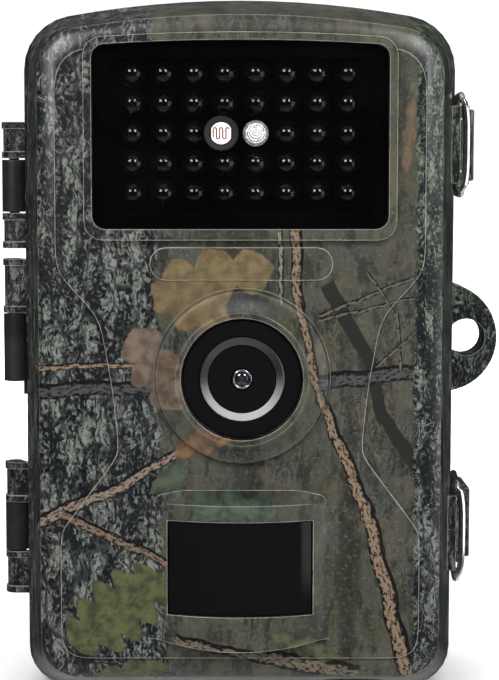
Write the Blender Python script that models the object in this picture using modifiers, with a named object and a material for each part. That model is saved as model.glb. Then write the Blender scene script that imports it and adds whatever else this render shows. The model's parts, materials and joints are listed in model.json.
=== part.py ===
"""Trail camera: a clamshell field camera with a front half that swings open on its left side.

Frame: metres, +Z up, the lens looks along -Y, +X is to the right as the front is seen.
The origin lies in the plane of the flat bottom, midway between the sides and 2 mm behind the seam.
"""

import math

import bmesh
import bpy
from mathutils import Matrix, Vector

MM = 0.001

# Body
HALF_WIDTH = 41.8 * MM
HEIGHT = 135.0 * MM
SEAM_Y = -2.0 * MM  # the plane where the two halves meet
SEAM_GAP = 0.15 * MM  # each half stops this far from the seam
FRONT_Y = -30.0 * MM
BACK_Y = 30.0 * MM
WALL = 2.2 * MM
ARCH_RADIUS = 187.0 * MM  # of the gently arched top
CORNER_TOP = 10.5 * MM
CORNER_BOTTOM = 8.0 * MM
RUNNING_GAP = 0.3 * MM  # between pieces that sit beside each other

# Front face
LENS_X, LENS_Z = 0.3 * MM, 64.5 * MM
FACE_RAISED_Y = FRONT_Y - 0.8 * MM  # the raised hourglass panel
BEZEL_Y = FRONT_Y - 2.6 * MM
WINDOW_HALF_WIDTH, WINDOW_BOTTOM, WINDOW_TOP = 26.9 * MM, 91.9 * MM, 125.8 * MM
WINDOW_THICK = 1.7 * MM
WINDOW_Y = -30.2 * MM  # its inner face
LED_PITCH_X, LED_PITCH_Z = 5.67 * MM, 5.49 * MM
LED_COLUMNS, LED_ROWS = 8, 5
LED_CENTRE_Z = 109.15 * MM
LED_RADIUS = 2.3 * MM
LED_SIDES = 8
LED_BOARD_Y = -26.2 * MM  # its front face
LED_TIP_Y = -29.4 * MM
SENSOR_X = -3.5 * MM
WHITE_LED_X = 2.8 * MM
PIR_HALF_WIDTH, PIR_BOTTOM, PIR_TOP = 13.5 * MM, 20.2 * MM, 37.9 * MM
HOOD_HALF_WIDTH, HOOD_BOTTOM, HOOD_TOP = 14.9 * MM, 15.2 * MM, 41.0 * MM
HOOD_ROOT_HALF_WIDTH = 17.2 * MM
HOOD_RISE, HOOD_SIDE = 5.4 * MM, 2.0 * MM  # how far its middle and its sides stand in front of the face
HOOD_CHIN = 1.6 * MM  # how far its bottom edge droops in the middle

# Hinge
HINGE_X, HINGE_Y = -44.5 * MM, SEAM_Y
KNUCKLE_RADIUS = 2.4 * MM
PIN_RADIUS = 1.0 * MM
PIN_HOLE_RADIUS = 1.15 * MM
FRONT_KNUCKLES = [(87.0, 93.9), (104.7, 111.8), (74.2, 84.9), (17.9, 26.3), (36.3, 44.3)]
REAR_BARRELS = {"upper": (94.2, 104.4), "middle": (60.6, 73.9), "lower": (26.6, 36.0)}
HINGE_PINS = {"upper": (87.3, 111.5), "middle": (60.9, 84.6), "lower": (18.2, 44.0)}
LEAF_TAB = 3.0 * MM  # the middle leaf runs on below its barrel

# Latches, measured from the middle of each latch
LATCH_Z = {"upper": 107.3 * MM, "lower": 31.0 * MM}
LEVER_PIVOT = (43.9 * MM, 1.6 * MM)
BAIL_PIVOT = (43.9 * MM, 7.0 * MM)
BAIL_RADIUS = 0.7 * MM
LATCH_HOLE_RADIUS = 0.85 * MM
CATCH_X = 42.8 * MM
CATCH_HALF_HEIGHT = 7.45 * MM

# Padlock eyes
EYE_X, EYE_Z, EYE_RADIUS = 40.0 * MM, 69.6 * MM, 10.7 * MM
EYE_HOLE_X, EYE_HOLE_RADIUS = 44.7 * MM, 3.65 * MM

# Battery bay
AA_RADIUS, AA_LENGTH = 7.1 * MM, 50.5 * MM
AA_Y = 17.6 * MM
AA_COLUMNS = [-22.8 * MM, -7.6 * MM, 7.6 * MM, 22.8 * MM]
TRAY_HALF_WIDTH, TRAY_WALL = 32.6 * MM, 1.8 * MM
TRAY_BOTTOM, TRAY_TOP = 8.8 * MM, 125.0 * MM
TRAY_FRONT, TRAY_BACK = 8.6 * MM, 27.0 * MM
ROW_BOTTOMS = [11.3 * MM, 68.4 * MM]
ROW_LENGTH = 54.1 * MM
STRIP_THICK = 0.4 * MM
DOOR_HINGE_X, DOOR_HINGE_Y = -34.2 * MM, 7.3 * MM

# Inside of the front half
COVER_BACK, COVER_FRONT = -3.2 * MM, -5.0 * MM
BOARD_Y = -9.0 * MM  # the face that the screen and sockets sit on
BOARD_THICK = 1.4 * MM
LCD_BOTTOM, LCD_TOP = 76.0 * MM, 119.0 * MM
SCREWS = {
    "upper_left": (-33.8, 121.0),
    "upper_right": (33.8, 121.0),
    "lower_left": (-33.8, 12.0),
    "lower_right": (33.8, 12.0),
}
KEYS = {
    "menu": (-24.0, 52.0),
    "up": (0.0, 62.0),
    "down": (0.0, 42.0),
    "left": (-10.0, 52.0),
    "right": (10.0, 52.0),
    "ok": (0.0, 52.0),
}
KEY_RADIUS = 3.6 * MM
SWITCH_X, SWITCH_Z = 25.0 * MM, 52.0 * MM
CARD_X, CARD_Z = -19.5 * MM, 25.5 * MM
DC_X, DC_Y = 22.0 * MM, -15.2 * MM
IR_CUT_Y = -18.9 * MM

# Back
RAIL_X, RAIL_HALF_WIDTH = 25.0 * MM, 3.0 * MM
RAIL_Y = 37.8 * MM
RAIL_BOTTOM, RAIL_TOP = 16.0 * MM, 119.0 * MM
STRAP_SLOTS = [(25.0 * MM, 51.0 * MM), (84.0 * MM, 110.0 * MM)]
STRAP_DEPTH = (30.4 * MM, 35.0 * MM)
TRIPOD_Y = 14.0 * MM

CAMO = ("camo_plastic", (0.13, 0.15, 0.11), 0.5, 0.0)
BLACK = ("black_plastic", (0.015, 0.015, 0.016), 0.4, 0.0)
GLOSS = ("black_gloss", (0.004, 0.004, 0.005), 0.08, 0.0)
STEEL = ("steel", (0.62, 0.61, 0.6), 0.25, 1.0)
BRASS = ("brass", (0.72, 0.55, 0.25), 0.3, 1.0)
RUBBER = ("rubber", (0.02, 0.02, 0.02), 0.85, 0.0)
BOARD = ("circuit_board", (0.02, 0.13, 0.06), 0.5, 0.0)
CLEAR = ("clear_plastic", (0.8, 0.82, 0.85), 0.05, 0.0)
CELL = ("battery_sleeve", (0.05, 0.22, 0.1), 0.35, 0.2)
SENSOR = ("sensor_face", (0.75, 0.6, 0.55), 0.4, 0.0)


# ---------------------------------------------------------------- scene


def clear_scene():
    for obj in list(bpy.data.objects):
        bpy.data.objects.remove(obj)


def new_collection(name):
    made = bpy.data.collections.new(name)
    bpy.context.scene.collection.children.link(made)
    return made


def paint(obj, finish):
    name, colour, roughness, metallic = finish
    material = bpy.data.materials.get(name)
    if material is None:
        material = bpy.data.materials.new(name)
        material.use_nodes = True
        shader = material.node_tree.nodes["Principled BSDF"]
        shader.inputs["Base Color"].default_value = (*colour, 1.0)
        shader.inputs["Roughness"].default_value = roughness
        shader.inputs["Metallic"].default_value = metallic
    obj.data.materials.clear()
    obj.data.materials.append(material)
    return obj


def smooth(obj, angle=35):
    obj.data.shade_smooth()
    obj.data.set_sharp_from_angle(angle=math.radians(angle))
    return obj


def mesh_object(name, mesh):
    obj = bpy.data.objects.new(name, mesh)
    PARTS.objects.link(obj)
    return obj


def from_bmesh(name, bm):
    mesh = bpy.data.meshes.new(name)
    bm.to_mesh(mesh)
    bm.free()
    return mesh_object(name, mesh)


def as_tool(obj):
    """Makes an object a cutter or a joining piece: it shapes its target and isn't a part itself."""
    PARTS.objects.unlink(obj)
    TOOLS.objects.link(obj)
    obj.hide_render = True
    obj.display_type = "WIRE"
    return obj


def boolean(target, tool, operation):
    as_tool(tool)
    modifier = target.modifiers.new(operation.lower() + "_" + tool.name, "BOOLEAN")
    modifier.operation = operation
    modifier.solver = "EXACT"
    modifier.object = tool
    return target


def cut(target, *tools):
    for tool in tools:
        boolean(target, tool, "DIFFERENCE")
    return target


def join(target, *tools):
    for tool in tools:
        boolean(target, tool, "UNION")
    return target


# ---------------------------------------------------------------- outlines


def arc(cx, cy, radius, start, end, steps):
    """Points on a circle from angle start to end in degrees, both ends included."""
    angles = [math.radians(start + (end - start) * i / steps) for i in range(steps + 1)]
    return [(cx + radius * math.cos(a), cy + radius * math.sin(a)) for a in angles]


def in_mm(points):
    """Points given in millimetres, as metres."""
    return [(a * MM, b * MM) for a, b in points]


def circle(cx, cy, radius, sides=24):
    return arc(cx, cy, radius, 0, 360 * (1 - 1 / sides), sides - 1)


def rounded_box(x0, x1, y0, y1, radius, steps=4):
    return (
        arc(x1 - radius, y0 + radius, radius, -90, 0, steps)
        + arc(x1 - radius, y1 - radius, radius, 0, 90, steps)
        + arc(x0 + radius, y1 - radius, radius, 90, 180, steps)
        + arc(x0 + radius, y0 + radius, radius, 180, 270, steps)
    )


def softened(points, reach, steps=3):
    """The outline with each corner turned into a curve that starts and ends up to reach away from it."""
    curve = []
    for i, corner in enumerate(points):
        ends = []
        for other in (points[i - 1], points[(i + 1) % len(points)]):
            share = min(reach / math.dist(corner, other), 0.45)
            ends.append([c + (o - c) * share for c, o in zip(corner, other)])
        for step in range(steps + 1):
            t = step / steps
            weights = ((1 - t) ** 2, 2 * t * (1 - t), t**2)
            curve.append(tuple(
                sum(w * p[axis] for w, p in zip(weights, (ends[0], corner, ends[1]))) for axis in (0, 1)
            ))
    return curve


def arched(half_width, bottom, top, corner_top, corner_bottom, arch=ARCH_RADIUS, steps=6):
    """A box outline with rounded corners whose top edge is an arc that meets its corners smoothly."""
    centre_z = top - arch
    corner_x = half_width - corner_top
    corner_z = centre_z + math.sqrt((arch - corner_top) ** 2 - corner_x**2)
    meet = math.degrees(math.atan2(corner_z - centre_z, corner_x))
    low_x, low_z = half_width - corner_bottom, bottom + corner_bottom
    return (
        arc(low_x, low_z, corner_bottom, -90, 0, steps)
        + arc(corner_x, corner_z, corner_top, 0, meet, steps)
        + arc(0, centre_z, arch, meet, 180 - meet, 2 * steps)[1:-1]
        + arc(-corner_x, corner_z, corner_top, 180 - meet, 180, steps)
        + arc(-low_x, low_z, corner_bottom, 180, 270, steps)
    )


def inset_outline(inset):
    """The casing's outline at the seam, drawn in by inset all round."""
    corner_top, corner_bottom = CORNER_TOP - 0.45 * inset, CORNER_BOTTOM - 0.3 * inset
    return arched(HALF_WIDTH - inset, inset, HEIGHT - inset, corner_top, corner_bottom)


# ---------------------------------------------------------------- solids


def loft(name, rings, cap_first=True, cap_last=True):
    """A skin through rings of 3-D points that all have the same count.

    It is made of triangles, because Booleans need flat faces.
    """
    bm = bmesh.new()
    loops = [[bm.verts.new(p) for p in ring] for ring in rings]
    count = len(loops[0])
    for low, high in zip(loops, loops[1:]):
        for i in range(count):
            j = (i + 1) % count
            bm.faces.new((low[i], low[j], high[j], high[i]))
    if cap_first:
        bm.faces.new(loops[0][::-1])
    if cap_last:
        bm.faces.new(loops[-1])
    bmesh.ops.triangulate(bm, faces=bm.faces)
    bmesh.ops.recalc_face_normals(bm, faces=bm.faces)
    return from_bmesh(name, bm)


def flat_curve(name, loops, thickness):
    """A filled 2-D curve in its own XY plane; loops after the first are holes."""
    curve = bpy.data.curves.new(name, "CURVE")
    curve.dimensions = "2D"
    curve.fill_mode = "BOTH"
    curve.extrude = thickness / 2
    for points in loops:
        spline = curve.splines.new("POLY")
        spline.points.add(len(points) - 1)
        for point, (x, y) in zip(spline.points, points):
            point.co = (x, y, 0, 1)
        spline.use_cyclic_u = True
    obj = bpy.data.objects.new(name, curve)
    PARTS.objects.link(obj)
    return obj


def to_mesh(curve_obj):
    """The curve as a mesh object with its caps welded to its sides."""
    bpy.context.view_layer.update()
    graph = bpy.context.evaluated_depsgraph_get()
    mesh = bpy.data.meshes.new_from_object(curve_obj.evaluated_get(graph))
    bm = bmesh.new()
    bm.from_mesh(mesh)
    bmesh.ops.remove_doubles(bm, verts=bm.verts, dist=0.001 * MM)
    bmesh.ops.recalc_face_normals(bm, faces=bm.faces)
    bm.to_mesh(mesh)
    bm.free()
    name, matrix = curve_obj.name, curve_obj.matrix_world.copy()
    bpy.data.objects.remove(curve_obj)
    obj = mesh_object(name, mesh)
    obj.matrix_world = matrix
    return obj


def plate(name, loops, y0, y1):
    """A flat piece facing the front: loops of (x, z), from y0 to y1."""
    obj = flat_curve(name, loops, y1 - y0)
    obj.rotation_euler = (math.radians(90), 0, 0)
    obj.location.y = (y0 + y1) / 2
    return to_mesh(obj)


def slab(name, loops, z0, z1):
    """A flat piece lying level: loops of (x, y), from z0 to z1."""
    obj = flat_curve(name, loops, z1 - z0)
    obj.location.z = (z0 + z1) / 2
    return to_mesh(obj)


def side_plate(name, loops, x0, x1):
    """A flat piece facing the side: loops of (y, z), from x0 to x1."""
    obj = flat_curve(name, loops, x1 - x0)
    obj.rotation_euler = (math.radians(90), 0, math.radians(90))
    obj.location.x = (x0 + x1) / 2
    return to_mesh(obj)


def box(name, x, y, z, bevel=0.0):
    """A block between the two values given for each of x, y and z."""
    size = [b - a for a, b in (x, y, z)]
    centre = [(a + b) / 2 for a, b in (x, y, z)]
    bm = bmesh.new()
    bmesh.ops.create_cube(bm, size=1.0, matrix=Matrix.Diagonal((*size, 1)))
    obj = from_bmesh(name, bm)
    obj.location = centre
    if bevel:
        modifier = obj.modifiers.new("rounded_edges", "BEVEL")
        modifier.width = bevel
        modifier.segments = 2
    return obj


def rod(name, start, end, radius, sides=16):
    """A cylinder from start to end."""
    start, end = Vector(start), Vector(end)
    along = end - start
    bm = bmesh.new()
    bmesh.ops.create_cone(
        bm, cap_ends=True, segments=sides, radius1=radius, radius2=radius, depth=along.length
    )
    obj = from_bmesh(name, bm)
    obj.rotation_mode = "QUATERNION"
    obj.rotation_quaternion = along.to_track_quat("Z", "Y")
    obj.location = (start + end) / 2
    return obj


def turned(name, profile, x=0.0, z=0.0, steps=32):
    """A shape of revolution about a front-to-back axis.

    The profile holds (radius, distance in front of Y 0).
    """
    mesh = bpy.data.meshes.new(name)
    closed = profile[0][0] > 0
    edges = [(i, i + 1) for i in range(len(profile) - 1)]
    if closed:
        edges.append((len(profile) - 1, 0))
    mesh.from_pydata([(r, 0, h) for r, h in profile], edges, [])
    obj = mesh_object(name, mesh)
    obj.rotation_euler = (math.radians(90), 0, 0)
    obj.location = (x, 0, z)
    spin = obj.modifiers.new("spin", "SCREW")
    spin.steps = steps
    spin.render_steps = steps
    spin.use_merge_vertices = True
    spin.merge_threshold = 0.00001
    return obj


def wire(name, points, radius, sides_level=2):
    """A round wire along a line of points."""
    curve = bpy.data.curves.new(name, "CURVE")
    curve.dimensions = "3D"
    curve.bevel_depth = radius
    curve.bevel_resolution = sides_level
    curve.use_fill_caps = True
    spline = curve.splines.new("POLY")
    spline.points.add(len(points) - 1)
    for point, co in zip(spline.points, points):
        point.co = (*co, 1)
    obj = bpy.data.objects.new(name, curve)
    PARTS.objects.link(obj)
    return obj


# ---------------------------------------------------------------- front half


def body_ring(y, inset, bottom):
    """The body's outline at depth y, drawn in by inset at the sides and half of it at the corners."""
    points = arched(
        HALF_WIDTH - inset,
        bottom,
        HEIGHT - 0.95 * inset,
        CORNER_TOP - 0.45 * inset,
        CORNER_BOTTOM - 0.3 * inset,
    )
    return [(px, y, pz) for px, pz in points]


def hollow_body(name, inner, outer):
    """A half casing: its inner skin from the deep end to the seam, then its outer skin back again.

    Each ring is (depth, how far the sides are drawn in, height of its bottom).
    """
    return loft(name, [body_ring(*ring) for ring in inner + outer])


def front_skin():
    """The front half's skin: a straight band at the seam, then sides that slope to the face."""
    seam = SEAM_Y - SEAM_GAP
    inner = [
        (FRONT_Y + WALL, 6.6 * MM, 9.6 * MM),
        (-8.3 * MM, WALL + 0.2 * MM, WALL + 0.3 * MM),
        (seam, WALL, WALL),
    ]
    outer = [
        (seam, 0, 0),
        (-7.5 * MM, 0, 0),
        (-8.3 * MM, 0.5 * MM, 0.6 * MM),
        (-27.2 * MM, 3.9 * MM, 6.6 * MM),
        (-29.3 * MM, 4.5 * MM, 7.6 * MM),
        (FRONT_Y, 5.6 * MM, 8.8 * MM),
    ]
    return hollow_body("front_shell", inner, outer)


def face_panel():
    """The raised panel: wide round the lamp window, waisted beside the lens, wide again below."""
    right = [
        (31.0, 11.4), (33.4, 14.0), (33.4, 35.0), (31.8, 37.4), (22.8, 49.4), (22.6, 52.0), (23.6, 62.0),
        (26.0, 75.4), (32.6, 82.4), (34.0, 85.4), (34.0, 119.0), (32.6, 122.4), (29.4, 124.6),
    ]
    left = [(-x, z) for x, z in reversed(right)]
    return plate("face_panel", [softened(in_mm(right + left), 3.5 * MM)], FACE_RAISED_Y, FRONT_Y + 1.0 * MM)


def hood_arc():
    """The radius of the hood's bulging front, and how far forward its centre lies."""
    rise = HOOD_RISE - HOOD_SIDE
    radius = (HOOD_HALF_WIDTH**2 + rise**2) / (2 * rise)
    return radius, FRONT_Y - HOOD_RISE + radius


def hood_ring(z, droop=0.0):
    """A section of the motion sensor's hood: a bulging front between sides that slope out to the face."""
    radius, centre_y = hood_arc()
    half_angle = math.degrees(math.asin(HOOD_HALF_WIDTH / radius))
    front = arc(0, centre_y, radius, 270 - half_angle, 270 + half_angle, 12)
    bulge = [(x, y, z - droop * (1 - (x / HOOD_HALF_WIDTH) ** 2)) for x, y in front]
    root = [
        (HOOD_ROOT_HALF_WIDTH, FRONT_Y - 0.5 * MM), (HOOD_ROOT_HALF_WIDTH, FRONT_Y + 1.2 * MM),
        (-HOOD_ROOT_HALF_WIDTH, FRONT_Y + 1.2 * MM), (-HOOD_ROOT_HALF_WIDTH, FRONT_Y - 0.5 * MM),
    ]
    return bulge + [(x, y, z) for x, y in root]


def hood_brow():
    """The top section of the hood, where its chamfer meets the face."""
    half_width, rise, z = 15.4 * MM, 1.5 * MM, HOOD_TOP + 2.2 * MM
    radius = (half_width**2 + rise**2) / (2 * rise)
    half_angle = math.degrees(math.asin(half_width / radius))
    front = arc(0, FRONT_Y - rise + radius, radius, 270 - half_angle, 270 + half_angle, 12)
    root = [
        (half_width, FRONT_Y + 0.6 * MM), (half_width, FRONT_Y + 1.2 * MM),
        (-half_width, FRONT_Y + 1.2 * MM), (-half_width, FRONT_Y + 0.6 * MM),
    ]
    return [(x, y, z) for x, y in front + root]


def sensor_hood():
    return loft("hood", [hood_ring(HOOD_BOTTOM, HOOD_CHIN), hood_ring(HOOD_TOP), hood_brow()])


def lens_boss():
    """The ring that stands out round the lens, with the pocket for the black disc."""
    profile = [
        (8.5, 33.4), (11.2, 33.4), (11.2, 36.2), (12.2, 36.2), (12.9, 35.7),
        (14.3, 33.4), (15.8, 32.7), (16.3, 31.8), (16.5, 26.9), (8.5, 26.9),
    ]
    return turned("lens_boss", in_mm(profile), LENS_X, LENS_Z, 40)


def front_knuckle(bottom, top):
    """One of the front half's hinge knuckles, a spool with its web, and the web to the shell."""
    bottom, top = bottom * MM, top * MM
    rim, groove = 1.3 * MM, 0.3 * MM
    levels = [
        (bottom, 0), (bottom + rim, 0), (bottom + rim, groove),
        (top - rim, groove), (top - rim, 0), (top, 0),
    ]
    rings = []
    for z, depth in levels:
        r = KNUCKLE_RADIUS - depth
        outline = arc(HINGE_X, HINGE_Y, r, 80, 270, 12) + [
            (-41.0 * MM, HINGE_Y - r), (-41.0 * MM, HINGE_Y - 2 * RUNNING_GAP),
            (HINGE_X + 1.9 * MM, HINGE_Y - 2 * RUNNING_GAP),
        ]
        rings.append([(x, y, z) for x, y in outline])
    return loft("front_knuckle", rings)


def eye_outline():
    rim = arc(EYE_X, EYE_Z, EYE_RADIUS, -84, 84, 20)
    return [(39.9 * MM, rim[0][1])] + rim + [(39.9 * MM, rim[-1][1])]


def add_padlock_eye(shell, y0, y1):
    """The round tab for a padlock's shackle. Its hole bites a little way into the casing's side."""
    join(shell, plate("padlock_eye", [eye_outline()], y0, y1))
    cut(shell, rod("shackle_hole", (EYE_HOLE_X, y0 - 0.5 * MM, EYE_Z), (EYE_HOLE_X, y1 + 0.5 * MM, EYE_Z),
                   EYE_HOLE_RADIUS, 28))


def front_shell():
    shell = front_skin()
    for x, z in SCREWS.values():
        join(shell, rod("screw_post", (x * MM, -28.5 * MM, z * MM), (x * MM, -5.3 * MM, z * MM), 3.2 * MM))
        cut(shell, rod("screw_hole", (x * MM, -14 * MM, z * MM), (x * MM, -4 * MM, z * MM), 1.5 * MM, 12))
    join(shell, rod("socket_boss", (DC_X, DC_Y, 3.4 * MM), (DC_X, DC_Y, 8.0 * MM), 6.6 * MM, 24))
    cut(shell, rod("plug_pocket", (DC_X, DC_Y, -2 * MM), (DC_X, DC_Y, 4.6 * MM), 5.2 * MM, 24))
    cut(shell, rod("plug_bore", (DC_X, DC_Y, 1 * MM), (DC_X, DC_Y, 10 * MM), 3.15 * MM))
    join(shell, face_panel())
    bezel = arched(28.6 * MM, 89.7 * MM, 127.4 * MM, 3.4 * MM, 3.4 * MM, 390 * MM, 4)
    join(shell, plate("bezel", [bezel], BEZEL_Y, FRONT_Y + 1.1 * MM))
    join(shell, plate("name_pill", [rounded_box(-16.6 * MM, 17 * MM, 82.3 * MM, 88.3 * MM, 2.9 * MM)],
                      FACE_RAISED_Y - 0.4 * MM, FRONT_Y + 0.9 * MM))
    cut(shell, rod("lens_opening", (LENS_X, -37 * MM, LENS_Z), (LENS_X, -20 * MM, LENS_Z), 12.3 * MM, 36))
    join(shell, lens_boss(), sensor_hood())
    for bottom, top in FRONT_KNUCKLES:
        join(shell, front_knuckle(bottom, top))
    cut(shell, rod("pin_bore", (HINGE_X, HINGE_Y, 10 * MM), (HINGE_X, HINGE_Y, 120 * MM), PIN_HOLE_RADIUS))
    for z in LATCH_Z.values():
        join(shell, box("catch", (40.6 * MM, CATCH_X), (-9.5 * MM, -4.5 * MM),
                        (z - CATCH_HALF_HEIGHT, z + CATCH_HALF_HEIGHT)))
    add_padlock_eye(shell, -6.6 * MM, SEAM_Y - 0.6 * MM)
    pocket = arched(WINDOW_HALF_WIDTH + 0.2 * MM, WINDOW_BOTTOM - 0.2 * MM, WINDOW_TOP + 0.2 * MM,
                    2.4 * MM, 2.4 * MM, 390 * MM, 4)
    cut(shell, plate("window_pocket", [pocket], -34 * MM, WINDOW_Y + RUNNING_GAP))
    cut(shell, plate("lamp_opening", [rounded_box(-24.6 * MM, 24.6 * MM, 94.2 * MM, 123.0 * MM, 2 * MM)],
                     -35 * MM, -25 * MM))
    cut(shell, box("motion_opening", (-PIR_HALF_WIDTH, PIR_HALF_WIDTH), (-40 * MM, -22 * MM),
                   (PIR_BOTTOM, PIR_TOP)))
    return paint(shell, CAMO)


def ir_window():
    edge = arched(WINDOW_HALF_WIDTH, WINDOW_BOTTOM, WINDOW_TOP, 2.2 * MM, 2.2 * MM, 390 * MM, 4)
    holes = [circle(SENSOR_X, LED_CENTRE_Z, 3.4 * MM), circle(WHITE_LED_X, LED_CENTRE_Z, 2.55 * MM)]
    return paint(plate("ir_window", [edge] + holes, WINDOW_Y - WINDOW_THICK, WINDOW_Y), GLOSS)


def led_places():
    """The middle of each infrared lamp; the light sensor and the white lamp take two places."""
    middle_row, middle_columns = LED_ROWS // 2, (LED_COLUMNS // 2 - 1, LED_COLUMNS // 2)
    for row in range(LED_ROWS):
        for column in range(LED_COLUMNS):
            if row == middle_row and column in middle_columns:
                continue
            x = (column - (LED_COLUMNS - 1) / 2) * LED_PITCH_X
            yield x, LED_CENTRE_Z + (row - middle_row) * LED_PITCH_Z


def led_board():
    """The lamp board with all its lamps soldered on."""
    board = plate("led_board", [rounded_box(-24.8 * MM, 24.8 * MM, 93 * MM, 124 * MM, 1 * MM, 2)],
                  LED_BOARD_Y, LED_BOARD_Y + 1.4 * MM)
    bm = bmesh.new()
    dome = [(LED_BOARD_Y + 0.4 * MM, 1.0), (-28.1 * MM, 1.0), (-28.9 * MM, 0.72), (LED_TIP_Y, 0.3)]
    for x, z in led_places():
        rings = [[bm.verts.new((px, y, pz)) for px, pz in circle(x, z, LED_RADIUS * share, LED_SIDES)]
                 for y, share in dome]
        for low, high in zip(rings, rings[1:]):
            for i in range(LED_SIDES):
                j = (i + 1) % LED_SIDES
                bm.faces.new((low[i], low[j], high[j], high[i]))
        bm.faces.new(rings[0][::-1])
        bm.faces.new(rings[-1])
    bmesh.ops.recalc_face_normals(bm, faces=bm.faces)
    join(board, from_bmesh("lamps", bm))
    return paint(board, BOARD)


def light_sensor():
    """The day and night sensor, a disc in a black collar."""
    profile = [
        (0, 31.5), (2.0, 31.5), (2.2, 31.3), (3.0, 31.6), (3.25, 31.3),
        (3.25, 29.75), (2.0, 29.75), (2.0, 26.5), (0, 26.5),
    ]
    return paint(turned("light_sensor", in_mm(profile), SENSOR_X, LED_CENTRE_Z, 24), SENSOR)


def white_led():
    profile = [
        (0, 32.0), (1.3, 31.75), (2.1, 31.1), (2.4, 30.2),
        (2.4, 29.75), (2.0, 29.7), (2.0, 26.5), (0, 26.5),
    ]
    return paint(turned("white_led", in_mm(profile), WHITE_LED_X, LED_CENTRE_Z, 24), CLEAR)


def lens_window():
    """The black disc round the lens, with a groove for the metal ring."""
    profile = [
        (2.1, 35.2), (6.1, 35.2), (6.1, 34.7), (7.9, 34.7), (7.9, 35.2),
        (10.6, 35.2), (10.9, 34.9), (10.9, 33.7), (2.1, 33.7),
    ]
    return paint(turned("lens_window", in_mm(profile), LENS_X, LENS_Z, 40), GLOSS)


def lens_ring():
    profile = [(6.3, 35.15), (7.6, 35.6), (7.75, 35.5), (7.75, 34.95), (6.3, 34.95)]
    return paint(turned("lens_ring", in_mm(profile), LENS_X, LENS_Z, 40), STEEL)


def lens_barrel():
    profile = [
        (0, 34.9), (1.1, 34.8), (1.4, 35.1), (1.85, 35.0), (1.85, 33.2),
        (6.0, 33.2), (6.0, 29.0), (5.6, 28.6), (5.6, 22.3), (0, 22.3),
    ]
    return paint(turned("lens_barrel", in_mm(profile), LENS_X, LENS_Z, 32), BLACK)


def ir_cut_housing():
    """The block behind the lens, with a slot for the filter slider and a light path through it."""
    housing = box("ir_cut_housing", (-11 * MM, 11 * MM), (-22 * MM, -14 * MM),
                  (LENS_Z - 9 * MM, LENS_Z + 9 * MM))
    cut(housing, box("slider_slot", (-10.2 * MM, 14 * MM), (IR_CUT_Y - 0.9 * MM, IR_CUT_Y + 0.9 * MM),
                     (LENS_Z - 4.7 * MM, LENS_Z + 4.7 * MM)))
    cut(housing, rod("light_path", (LENS_X, -23 * MM, LENS_Z), (LENS_X, -13 * MM, LENS_Z), 2.8 * MM))
    cut(housing, box("chip_recess", (-4.2 * MM, 4.2 * MM), (-15.8 * MM, -13 * MM),
                     (LENS_Z - 3 * MM, LENS_Z + 3 * MM)))
    return paint(housing, BLACK)


def ir_cut_slider():
    """The filter frame: one window for day and one for night, 6 mm apart."""
    frame = rounded_box(-9.6 * MM, 3.8 * MM, LENS_Z - 4.3 * MM, LENS_Z + 4.3 * MM, 0.8 * MM, 2)
    panes = [circle(LENS_X, LENS_Z, 2.5 * MM, 20), circle(LENS_X - 6 * MM, LENS_Z, 2.5 * MM, 20)]
    return paint(plate("ir_cut_slider", [frame] + panes, IR_CUT_Y - 0.5 * MM, IR_CUT_Y + 0.5 * MM), STEEL)


def sensor_board():
    board = box("sensor_board", (-11 * MM, 11 * MM), (-13.6 * MM, -12.4 * MM),
                (LENS_Z - 11 * MM, LENS_Z + 11 * MM))
    join(board, box("image_chip", (-3.6 * MM, 3.6 * MM), (-15.2 * MM, -13.2 * MM),
                    (LENS_Z - 2.1 * MM, LENS_Z + 1.8 * MM)))
    return paint(board, BOARD)


def pir_window():
    """The curved black cover of the motion sensor."""
    radius, centre_y = hood_arc()
    outer, inner = radius - 0.5 * MM, radius - 1.5 * MM
    half_angle = math.degrees(math.asin((PIR_HALF_WIDTH - RUNNING_GAP) / outer))
    outline = arc(0, centre_y, outer, 270 - half_angle, 270 + half_angle, 14) + arc(
        0, centre_y, inner, 270 + half_angle, 270 - half_angle, 14
    )
    window = slab("pir_window", [outline], PIR_BOTTOM + RUNNING_GAP, PIR_TOP - RUNNING_GAP)
    return paint(window, GLOSS)


def pir_sensor():
    """The heat sensor can behind the black cover, on three legs."""
    profile = [(0, 22.4), (4.0, 22.4), (4.2, 22.2), (4.2, 18.9), (4.7, 18.9), (4.7, 18.4), (0, 18.4)]
    can = turned("pir_sensor", in_mm(profile), 0.4 * MM, 29 * MM, 24)
    for index in range(3):
        angle = math.radians(90 + 120 * index)
        x, z = 0.4 * MM + 2.2 * MM * math.cos(angle), 29 * MM + 2.2 * MM * math.sin(angle)
        join(can, rod("leg", (x, -18.7 * MM, z), (x, -10.7 * MM, z), 0.35 * MM, 6))
    return paint(can, STEEL)


def main_board():
    """The main board with its card socket and its data socket."""
    board = plate("main_board", [rounded_box(-29.5 * MM, 29.5 * MM, 19 * MM, 124 * MM, 1 * MM, 2)],
                  BOARD_Y - BOARD_THICK, BOARD_Y)
    join(board, box("card_socket", (CARD_X - 7.5 * MM, CARD_X + 7.5 * MM), (BOARD_Y - 0.4 * MM, -6.9 * MM),
                    (21 * MM, 35 * MM)))
    join(board, box("data_socket", (-6 * MM, 2 * MM), (BOARD_Y - 0.4 * MM, -5.4 * MM), (19.6 * MM, 26 * MM)))
    cut(board, box("card_slot", (CARD_X - 5.9 * MM, CARD_X + 5.9 * MM), (-8.6 * MM, -7.3 * MM),
                   (15 * MM, 34 * MM)))
    cut(board, box("data_slot", (-5 * MM, 1 * MM), (-8.3 * MM, -6.1 * MM), (15 * MM, 25 * MM)))
    return paint(board, BOARD)


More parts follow.
